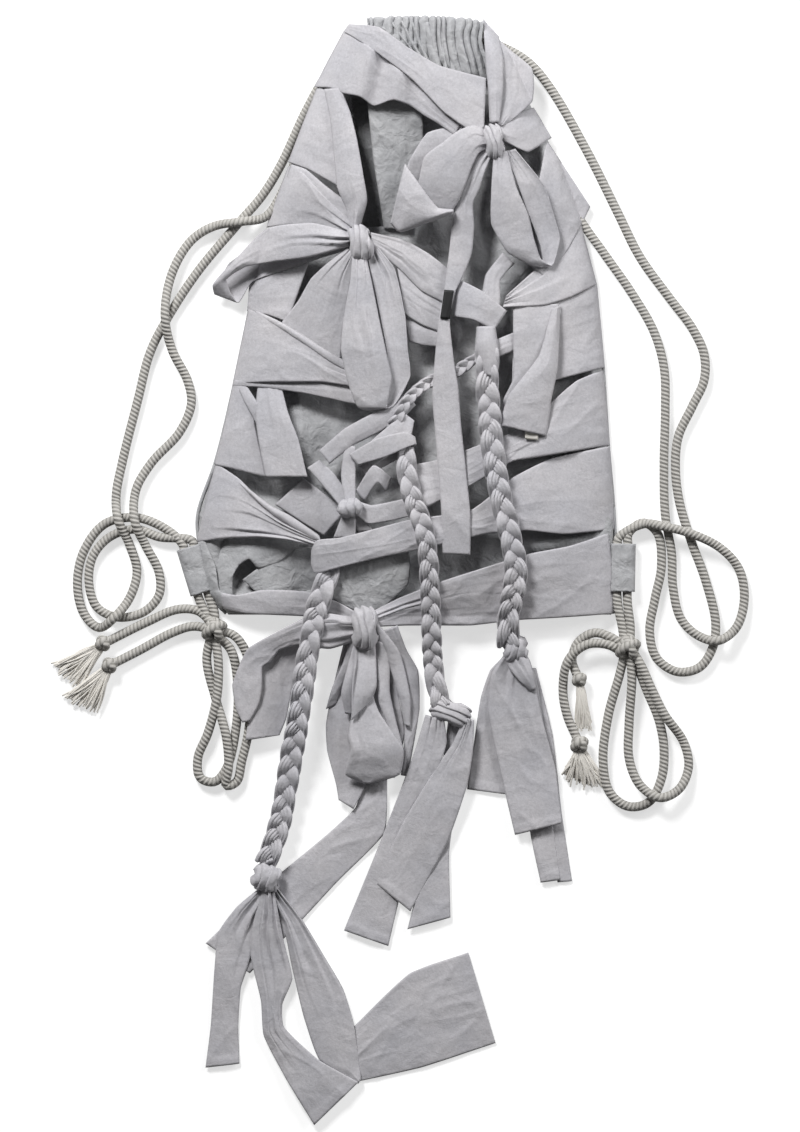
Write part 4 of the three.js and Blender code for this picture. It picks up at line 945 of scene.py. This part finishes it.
floor_strip("bottom_bow_long_tail",
            [[(-30, -330), (-32, -355), (-38, -376), (-52, -390), (-78, -412), (-100, -430),
              (-154, -481)],
             [(-13, -330), (-14, -356), (-14, -377), (-16, -396), (-54, -435), (-77, -460),
              (-120, -504)]], [2, 2, 2.5, 2.5, 2, 1.5, 1.5], nodes=["bottom_bow_tail"], held="laid",
            gather=[0.6, 0.7, 0.9, 0.8, 0.5, 0.4, 0.3], hem=8)
knot_band("bottom_bow_knot", (-31, -237), 92, 31, 18, 18, 5)


# Plaits: three flat pleated strips that swing from side to side, over and under each other in turn.
def plait(name, points, lifts, width, thickness, cycle, body="sack", nodes=(), hinge=None):
    """lifts are heights above the sack along its middle line, and cycle is the length of one full swing."""
    strips, laps = 3, 2
    strand_half, strand_thick = 0.3 * width, 0.15 * thickness
    swing_half, rise = 0.25 * width, 0.6 * (thickness / 2 - strand_thick)
    lean_most = 0.6  # in radians, at the plait's edges
    wander, wander_run = 0.09, 23  # how unevenly it is plaited, and in what length
    lap_height, lap_crest = 0.1 * thickness, 0.8
    cap_size = 0.02
    seed = seed_of(name)
    middle = np.c_[np.asarray(points, float), np.asarray(lifts, float)]
    stations, length = even_stations(middle, 1)
    line = spline(middle, stations)
    heights = ground(line[:, 0], line[:, 1]) + line[:, 2] + thickness / 2
    centre = np.c_[line[:, :2], heights]
    _, side, up = frames_along(centre)
    run = np.linspace(0, length, len(stations))
    around = np.linspace(0, FULL_TURN, 52, endpoint=False)
    wide = fuller(np.cos(around), 0.8)
    high = fuller(np.sin(around), 0.55)
    taper = 0.5 + 0.5 * smooth(run, 0, 1.6 * width)
    uneven = wander * noise(run / wander_run, 0 * run, seed)
    strands = []
    for number in range(strips):
        phase = FULL_TURN * (run / cycle + number / strips + uneven)
        full = taper * (1 + 0.14 * noise(run / 15, 0 * run + 3.3 * number, seed + 1))
        swing = np.sin(phase) + 0.1 * np.sin(3 * phase)
        path = centre + side * (swing_half * taper * swing)[:, None]
        path = path + up * (rise * taper * np.sin(2 * phase))[:, None]
        ahead = frames_along(path)[0]
        flat = np.cross(up, ahead)
        flat /= np.linalg.norm(flat, axis=1, keepdims=True)
        out = np.cross(ahead, flat)
        lean = -lean_most * swing[:, None]
        flat, out = flat * np.cos(lean) - out * np.sin(lean), out * np.cos(lean) + flat * np.sin(lean)
        drift = 0.5 * noise(run[:, None] / 17 + 0 * around, 0 * around[None, :], number + 61)
        lap = np.mod(laps * wide[None, :] + drift + 0.37 * number, 1)
        lap = lap * (1 - smooth(lap, lap_crest, 1.0)) - 0.35
        deep = lap_height * np.maximum(0.6 + noise(run / 13, 0 * run + 5 * number, 67), 0)
        raised = strand_thick * high[None, :] + (high > 0.3)[None, :] * lap * deep[:, None]
        across = (strand_half * full)[:, None] * wide[None, :]
        grid = path[:, None] + flat[:, None] * across[..., None]
        grid = grid + out[:, None] * (taper[:, None] * raised)[..., None]
        grid[..., 2] = np.maximum(grid[..., 2], CLOTH_LOWEST)
        middles = [ring.mean(axis=1, keepdims=True) for ring in (grid[:1], grid[-1:])]
        caps = [middles[end] + cap_size * (grid[[end]] - middles[end]) for end in (0, -1)]
        grid = np.concatenate([caps[0], grid, caps[1]])
        strands.append(grid_object(f"{name}_strand_{number}", grid, STRIP_CLOTH, closed=True, thickness=0))
    settle(join(name, strands), body, nodes, hinge)


plait("twisted_plait",
      [(58, -26), (46, -36), (32, -44), (19, -48), (9, -55), (1, -64), (-6, -76), (-12, -84)],
      [4, 2, -1, 1, 4, 5, 4, 1], 9.5, 8, 24)
plait("left_plait_strands",
      [(-53, -177), (-56, -190), (-62, -205), (-68, -224), (-73, -248), (-77, -272), (-81, -300),
       (-86, -329), (-91, -358), (-97, -390), (-107, -418)], [-9, -4, 4, 7, 12, 15, 14, 9, 5, 3, 3], 17.5,
      13, 44, "left_plait", ["left_braid"], [(-57, -192, 30), (-66, -222, 28)])
plait("middle_plait_strands",
      [(0, -90), (1, -99), (2, -120), (8, -143), (15, -163), (18, -185), (19, -205), (20, -230),
       (21, -255), (23, -275), (28, -298)], [-6, 1, 4, 4, 5, 4, 4, 5, 5, 5, 5], 15.5, 12, 41,
      "middle_plait", ["middle_braid"], [(1, -99, 38), (5, -130, 38)])
plait("right_plait_strands",
      [(62, 3), (62, -10), (63, -24), (63, -42), (64, -65), (66, -90), (69, -112), (74, -140), (81, -168),
       (85, -195), (82, -215), (79, -232), (80, -250)], [-8, -3, 3, 5, 4, 4, 4, 4, 4, 4, 4, 4, 4], 18, 13,
      44, "right_plait", ["right_braid"], [(62, -10, 36), (63, -44, 36)])
knot_band("left_plait_knot", (-107, -430), 70, 20, 20, 15, 2, "left_plait")
knot_band("middle_plait_knot", (35, -302), 160, 30, 16, 14, 2, "middle_plait")
knot_band("right_plait_knot", (85, -253), 95, 18, 17, 14, 2, "right_plait")

# Tails below the plaits.
TAILS = {  # edges, lifts and depths of the folds
    "left_braid_tail_outer": (
        [[(-112, -438), (-130, -453), (-144, -472), (-147, -500), (-150, -545), (-154, -577)],
         [(-104, -438), (-114, -466), (-119, -492), (-127, -515), (-129, -545), (-128, -574)]],
        [6, 5, 4, 3, 1.5, 1.5], [2.4, 2, 1.4, 1, 0.5, 0.3]),
    "left_braid_tail_inner": (
        [[(-106, -438), (-94, -466), (-87, -500), (-78, -538), (-66, -571), (-36, -589)],
         [(-100, -436), (-80, -462), (-62, -492), (-48, -516), (-40, -541), (-34, -586)]],
        [6, 5, 4, 4, 3.5, 3], [2.4, 2, 1.6, 1.2, 0.8, 0.3]),
    "left_braid_tail_middle": (
        [[(-110, -440), (-117, -465), (-119, -490), (-111, -525), (-109, -552), (-92, -585), (-70, -621)],
         [(-101, -440), (-94, -478), (-87, -508), (-95, -528), (-94, -545), (-68, -570), (-36, -588)]],
        [8, 7, 6, 5, 5, 4.5, 4], [2.4, 2, 1.4, 1.4, 1.2, 0.6, 0.3]),
    "middle_braid_tail_back": (
        [[(34, -306), (28, -350), (16, -415), (2, -470)],
         [(42, -306), (42, -350), (34, -410), (35, -461)]],
        [4, 3, 2, 1.5], [1.4, 1, 0.6, 0.3]),
    "middle_braid_tail_left": (
        [[(16, -304), (8, -331), (-1, -356), (-22, -410), (-47, -471)],
         [(30, -308), (32, -326), (22, -356), (2, -420), (-13, -483)]],
        [9, 8, 6, 3, 2], [2, 1.4, 1, 0.5, 0.3]),
    "middle_braid_tail_front": (
        [[(46, -306), (37, -326), (22, -348), (-2, -388), (-23, -434)],
         [(53, -308), (52, -334), (48, -358), (33, -402), (4, -456)]],
        [10, 10, 9, 6, 4], [2, 1.5, 1, 0.6, 0.3]),
    "right_braid_tail_back": (
        [[(80, -256), (66, -270), (59, -290), (53, -329), (48, -362)],
         [(84, -258), (76, -280), (72, -310), (74, -340), (79, -366)]],
        [5, 4, 3, 2, 1.5], [2, 1.4, 1, 0.5, 0.3]),
    "right_braid_tail_long": (
        [[(84, -258), (88, -290), (93, -340), (97, -396), (105, -434)],
         [(92, -255), (101, -275), (108, -320), (113, -380), (120, -432)]],
        [5, 4, 3, 2, 1.5], [2, 1.4, 1, 0.5, 0.3]),
    "right_braid_tail_front": (
        [[(78, -256), (67, -272), (64, -300), (74, -350), (85, -397)],
         [(92, -254), (99, -275), (107, -312), (116, -345), (121, -388)]],
        [9, 9, 8, 6, 5], [2.4, 2, 1.4, 0.8, 0.4]),
}
for tail_name, (edges, lifts, gather) in TAILS.items():
    plait_body = tail_name.replace("braid", "plait").rsplit("_tail", 1)[0]
    floor_strip(f"{tail_name}_cloth", edges, lifts, body=plait_body, nodes=[tail_name], held="hung", folds=3,
                gather=gather, wave=1.5, hem=7)

floor_strip("right_braid_tail_twist",
            [[(77, -257), (80, -268), (88, -278), (97, -286)],
             [(91, -254), (96, -262), (99, -272), (101, -284)]], [11, 14, 14, 10], body="right_plait",
            held="hung", gather=[2.2, 1.8, 1.3, 0.6], crown=1.8)
floor_strip("right_braid_tail_third",
            [[(96, -268), (104, -320), (111, -380), (118, -434)],
             [(101, -268), (114, -320), (121, -380), (129, -433)]], [2, 1.5, 1, 1], body="right_plait",
            held="hung", folds=1, gather=0.4)
floor_strip("left_braid_tail_inner_end",
            [[(-38, -588), (12, -577), (70, -558)], [(-42, -548), (4, -504), (49, -488)]],
            [1.5, 1.5, 1.5], body="left_plait", held="laid", folds=1, gather=0.2, wave=0.5)


# Corner tabs: a flattened sleeve of sack cloth, folded over the two runs of cord.
TAB_LENGTH, TAB_WIDTH, TAB_HEIGHT = 37, 18.5, 10.6
TAB_MIDDLE = TAB_HEIGHT / 2
TAB_THICKNESS = 0.9
CORD_PITCH = 7.8
TABS = {  # middle of the upper end, and the directions down the tab and out from the sack
    "left": (np.array([-167.09, -174.78]), np.array([0.2922, -0.9564]), np.array([-0.9564, -0.2922])),
    "right": (np.array([168.5, -172.17]), np.array([-0.0179, -0.9998]), np.array([0.9998, -0.0179])),
}


def in_tab(side, run, depth):
    """A place on the outer (1) or inner (-1) run of cord, at a depth below the tab's upper end."""
    top, down, out = TABS[side]
    x, y = top + down * depth + out * run * CORD_PITCH / 2
    return (x, y, TAB_MIDDLE)


def corner_tab(side):
    top, down, out = TABS[side]
    along = np.linspace(0, TAB_LENGTH, 26)[:, None]
    turn = np.linspace(0, FULL_TURN, 40, endpoint=False)[None, :]
    flat = fuller(np.cos(turn), 0.55) * TAB_WIDTH / 2
    up = fuller(np.sin(turn), 0.75) * TAB_HEIGHT / 2
    pinch = 1 - 0.12 * np.exp(-(((along - TAB_LENGTH / 2) / 4) ** 2))
    plan = top + down * along[..., None] + out * flat[..., None]
    crease = 0.4 * noise(along / 9 + 0 * turn, turn * 1.5, 51)
    grid = np.dstack([plan, np.maximum(TAB_MIDDLE + up * pinch + crease, CLOTH_LOWEST)])
    piece = grid_object(f"{side}_tab_cloth", grid, SACK_CLOTH, closed=True, thickness=TAB_THICKNESS)
    settle(piece, "sack", [f"{side}_corner_tab"])


for side in TABS:
    corner_tab(side)

# Drawcords, by the same routes as in the CAD source: places in plan and heights of the middle line.
OVER = LYING + CORD_DIAMETER + 0.8  # where a cord crosses over another
UPPER_RUN, LOWER_RUN = 221.2, 213.4
BACK_RUN_Z, FRONT_RUN_Z, MOUTH_Z = 5.3, 22.4, 14.6
TAB_MEET = 3


def through(row, height):
    return [(column, row, height) for column in (-24, -20, 0, 28, 48, 52)]


LEFT_CORD = [
    in_tab("left", 1, TAB_MEET), in_tab("left", 1, -4), (-186, -160), (-208, -152), (-232, -157),
    (-248, -178), (-253, -203), (-248, -226), (-236, -237, 6), (-224, -229, OVER), (-212, -213, 6),
    (-207, -193), (-213, -172, 6), (-221, -154, OVER), (-223, -136, 6), (-218, -108), (-206, -60),
    (-197, -25), (-184, 1), (-160, 38), (-128, 76), (-110, 97), (-96, 120), (-76, 163), (-58, 195),
    (-45, 214, 5), (-34, UPPER_RUN, 13), *through(UPPER_RUN, FRONT_RUN_Z), (58, UPPER_RUN, MOUTH_Z),
    *reversed(through(UPPER_RUN, BACK_RUN_Z)), (-34, UPPER_RUN - 2), (-44, 207), (-57, 180), (-72, 152),
    (-86, 120), (-97, 95), (-108, 80, 6), (-126, 76, OVER), (-147, 73, 6), (-165, 62), (-180, 36, 6),
    (-185, 4, OVER), (-180, -22, 6), (-168, -46), (-165, -64), (-174, -86), (-196, -110), (-208, -132, 6),
    (-208, -156, OVER), (-200, -174, 6), (-190, -194), (-190, -212), (-202, -225), (-222, -229),
    (-238, -221), (-244, -203), (-241, -182), (-228, -167), (-208, -161), (-190, -167),
    in_tab("left", -1, -4), in_tab("left", -1, TAB_MEET),
]
RIGHT_CORD = [
    in_tab("right", 1, TAB_MEET), in_tab("right", 1, -8), (184, -156), (195, -164), (198, -190),
    (193, -215), (189, -240), (194, -260), (210, -271), (227, -268), (237, -254), (240, -234),
    (232, -200), (221, -170), (212, -140), (209, -115), (211, -90), (222, -66), (231, -46), (231, -26),
    (222, -6), (204, 18), (181, 50), (164, 84), (141, 130), (112, 180), (96, 199), (80, 209, 5),
    (66, LOWER_RUN, 14), *reversed(through(LOWER_RUN, FRONT_RUN_Z)), (-31, LOWER_RUN, MOUTH_Z),
    *through(LOWER_RUN, BACK_RUN_Z), (66, LOWER_RUN - 4), (78, 196), (92, 168), (112, 128), (133, 82),
    (153, 53), (176, 20), (192, -8), (200, -36), (201, -70), (200, -110), (201, -150), (206, -180),
    (207, -206), (213, -230), (226, -243, 6), (241, -247, OVER), (255, -238, 6), (262, -216), (258, -192),
    (244, -176, 7), (222, -165, OVER), (200, -159, OVER), (184, -157, 7), in_tab("right", -1, -4),
    in_tab("right", -1, TAB_MEET),
]
free_rope("left_drawcord_rope", LEFT_CORD, "sack", ["left_drawcord"])
free_rope("right_drawcord_rope", RIGHT_CORD, "sack", ["right_drawcord"])

# Tied ends: the two runs out of the tab, two long loops and two ends with a stopper knot and tassel.
TIE_MEET = TAB_MEET + 1
TIES = {
    "left": {
        "run_a": [in_tab("left", 1, TIE_MEET), in_tab("left", 1, TAB_LENGTH + 4), (-154, -226, 6),
                  (-149, -238, 6)],
        "run_b": [in_tab("left", -1, TIE_MEET), in_tab("left", -1, TAB_LENGTH + 4), (-147, -226, 6),
                  (-147, -240, 6)],
        "loop_a": [(-149, -240, 8), (-153, -262, 6), (-146, -292, 6), (-138, -320, 10), (-136, -344, 9),
                   (-138, -359, 6), (-130, -356), (-126, -340), (-121, -318), (-119, -290), (-122, -258),
                   (-132, -243, 6), (-146, -239, 8)],
        "loop_b": [(-147, -242, 8), (-144, -262, 9), (-145, -290, 9), (-152, -318, 6), (-160, -338),
                   (-158, -353), (-147, -356), (-138, -346), (-131, -318), (-129, -285), (-134, -255, 6),
                   (-145, -243, 8)],
        "end_a": [(-150, -232, 7), (-160, -224, 5), (-176, -223), (-200, -233), (-231, -248.5, 5)],
        "end_b": [(-150, -238, 7), (-164, -236, 5), (-180, -241), (-204, -254), (-225.5, -265, 5)],
    },
    "right": {
        "run_a": [in_tab("right", 1, TIE_MEET), in_tab("right", 1, TAB_LENGTH + 6), (174, -238, 6),
                  (173, -254, 8)],
        "run_b": [in_tab("right", -1, TIE_MEET), in_tab("right", -1, TAB_LENGTH + 6), (168, -238, 6),
                  (170, -254, 8)],
        "loop_a": [(170, -254, 8), (166, -272, 6), (157, -305), (153, -340), (158, -364), (172, -375),
                   (188, -372), (198, -354), (200, -330), (196, -308), (187, -286), (178, -264, 6),
                   (172, -254, 8)],
        "loop_b": [(173, -254, 9), (175, -275, 9), (173, -310, 6), (173, -338, 6), (181, -358, 8),
                   (196, -368, OVER), (211, -362, 8), (219, -345), (215, -325), (200, -304, OVER),
                   (190, -284, OVER), (182, -266, OVER), (175, -254, 9)],
        "end_a": [(170, -252, 8), (158, -244, 8), (146, -241, 6), (134, -248), (129, -262),
                  (133, -274, 5)],
        "end_b": [(168, -256, 9), (156, -250, OVER), (140, -250, OVER), (126, -262, 9), (122, -284),
                  (125, -304), (133, -323, 5)],
    },
}


def rope_turns(name, centre, turns, body, nodes=()):
    """A knot in cord: turns of cord round its middle, each with an angle in plan, a tilt and a radius."""
    t = np.linspace(0, FULL_TURN, 40)
    rings = []
    for number, (angle, tilt, radius) in enumerate(turns):
        flat = radius * np.cos(t)
        up = radius * np.sin(t)
        x = centre[0] + flat * math.cos(angle) - up * math.sin(tilt) * math.sin(angle)
        y = centre[1] + flat * math.sin(angle) + up * math.sin(tilt) * math.cos(angle)
        z = np.maximum(centre[2] + up * math.cos(tilt), LYING)
        rings.append(rope(f"{name}_{number}", np.c_[x, y, z])[0])
    return settle(join(name, rings), body, nodes)


def tassel(name, start, end_a, end_b, body, seed, nodes=()):
    """Loose yarns from a stopper knot, fanned out between two ends in plan."""
    yarn_count, yarn_radius, yarn_sides = 150, 0.75, 5
    lowest = 0.9
    draw = np.random.default_rng(seed)
    root, end_a, end_b = np.array(start[:2]), np.array(end_a), np.array(end_b)
    t = np.linspace(0, 1, 8)[:, None]
    yarns = []
    for number in range(yarn_count):
        share = draw.random()
        offset = end_a * (1 - share) + end_b * share - root
        reach = np.linalg.norm(end_a - root) * (1 - share) + np.linalg.norm(end_b - root) * share
        tip = root + offset / np.linalg.norm(offset) * reach * draw.uniform(0.72, 1.06)
        base = root + draw.uniform(-2.4, 2.4, 2)
        curl = draw.uniform(-3, 3, 2) * np.sin(math.pi * t * draw.uniform(0.6, 1.6))
        plan = base * (1 - t) + tip * t + curl * t
        height = start[2] * (1 - t) ** 1.5 + draw.uniform(0.6, 5) * np.sin(math.pi * t * 0.8) + 0.7
        grid = tube_grid(np.c_[plan, np.maximum(height, lowest)], yarn_radius, yarn_sides)
        yarns.append(grid_object(f"{name}_{number}", grid, TASSEL_YARN, closed=True, thickness=0))
    return settle(join(name, yarns), body, nodes)


STOPPERS = {  # knot, the two ends of its tassel's fan, the knot's size and the tassel's CAD node
    ("left", "a"): ((-233, -249, 7), (-270, -264), (-252, -282), 1, "left_tassel_upper"),
    ("left", "b"): ((-228, -266, 7), (-262, -289), (-238, -300), 1, "left_tassel_lower"),
    ("right", "a"): ((134.5, -277, 7), (132, -312), (143, -313), 0.85, "right_tassel_upper"),
    ("right", "b"): ((134.6, -327, 7), (121, -351), (154, -357), 1.3, "right_tassel_lower"),
}
TIE_KNOTS = {"left": (-147, -239, 9), "right": (172, -253, 9)}
KNOT_TURNS = [(0.5, 0.3, 7.5), (2.0, -0.3, 7), (1.2, 0.9, 6.5)]
for side, parts in TIES.items():
    body = f"{side}_tie"
    knot = rope_turns(f"{side}_tie_knot", TIE_KNOTS[side], KNOT_TURNS, body, [f"{side}_tied_cord"])
    free_rope(f"{side}_tie_run_a", parts["run_a"], body)
    for part in ("run_b", "loop_a", "loop_b"):
        free_rope(f"{side}_tie_{part}", parts[part], body)
    for end in ("a", "b"):
        place, tip_a, tip_b, size, node = STOPPERS[side, end]
        stopper_turns = [(0.6, 0.4, 3.4 * size), (2.1, -0.5, 3.2 * size)]
        stopper = rope_turns(f"{side}_stopper_{end}", place, stopper_turns, body)
        fringe = tassel(f"{side}_tassel_{end}", place, tip_a, tip_b, body, 7 + len(node), [node])
        free_rope(f"{side}_tie_end_{end}", parts[f"end_{end}"], body)


# Stage: a white floor, soft light from beyond the mouth and from the right, and the camera overhead.
def floor():
    """A grey floor that glows white where it is seen, so that it takes shadows and stays white."""
    size, height = 24, -0.0006
    glow = 0.62
    nodes = Nodes("White floor")
    rays = nodes.add("LightPath").outputs
    seen = nodes.math("MAXIMUM", rays["Is Camera Ray"], rays["Is Glossy Ray"])
    seen = nodes.math("MAXIMUM", seen, rays["Is Transmission Ray"])
    nodes.shade({"Base Color": (0.6, 0.6, 0.6, 1), "Roughness": 0.9, "Specular IOR Level": 0.0})
    nodes.shade({"Emission Color": (1, 1, 1, 1), "Emission Strength": nodes.math("MULTIPLY", seen, glow)})
    bpy.ops.mesh.primitive_plane_add(size=size, location=(0, 0, height))
    plane = bpy.context.object
    plane.name = "floor"
    plane.data.materials.append(nodes.material)


def area_lamp(name, place, size, power):
    target = Vector((0, -0.15, 0))
    data = bpy.data.lights.new(name, "AREA")
    data.size = size
    data.energy = power
    lamp = bpy.data.objects.new(name, data)
    lamp.location = place
    lamp.rotation_euler = (target - Vector(place)).to_track_quat("-Z", "Y").to_euler()
    bpy.context.scene.collection.objects.link(lamp)


def camera():
    frame_height = 871.6 * MM  # height of the photograph at the sack
    middle_x, middle_y, sack_height = -3.85 * MM, -189.4 * MM, 15 * MM
    data = bpy.data.cameras.new("camera")
    data.sensor_fit = "VERTICAL"
    data.sensor_height = 24
    data.lens = 100
    eye = bpy.data.objects.new("camera", data)
    eye.location = (middle_x, middle_y, sack_height + frame_height * data.lens / data.sensor_height)
    bpy.context.scene.collection.objects.link(eye)
    bpy.context.scene.camera = eye


def world():
    made = bpy.data.worlds.new("Soft room")
    made.use_nodes = True
    background = made.node_tree.nodes["Background"]
    background.inputs["Color"].default_value = (1, 1, 1, 1)
    background.inputs["Strength"].default_value = 0.08
    bpy.context.scene.world = made


floor()
area_lamp("key", (-0.95, 1.65, 1.65), 0.7, 75)
area_lamp("fill", (2.2, 1.2, 1.3), 1.3, 46)
camera()
world()
bpy.context.scene.view_settings.view_transform = "Standard"
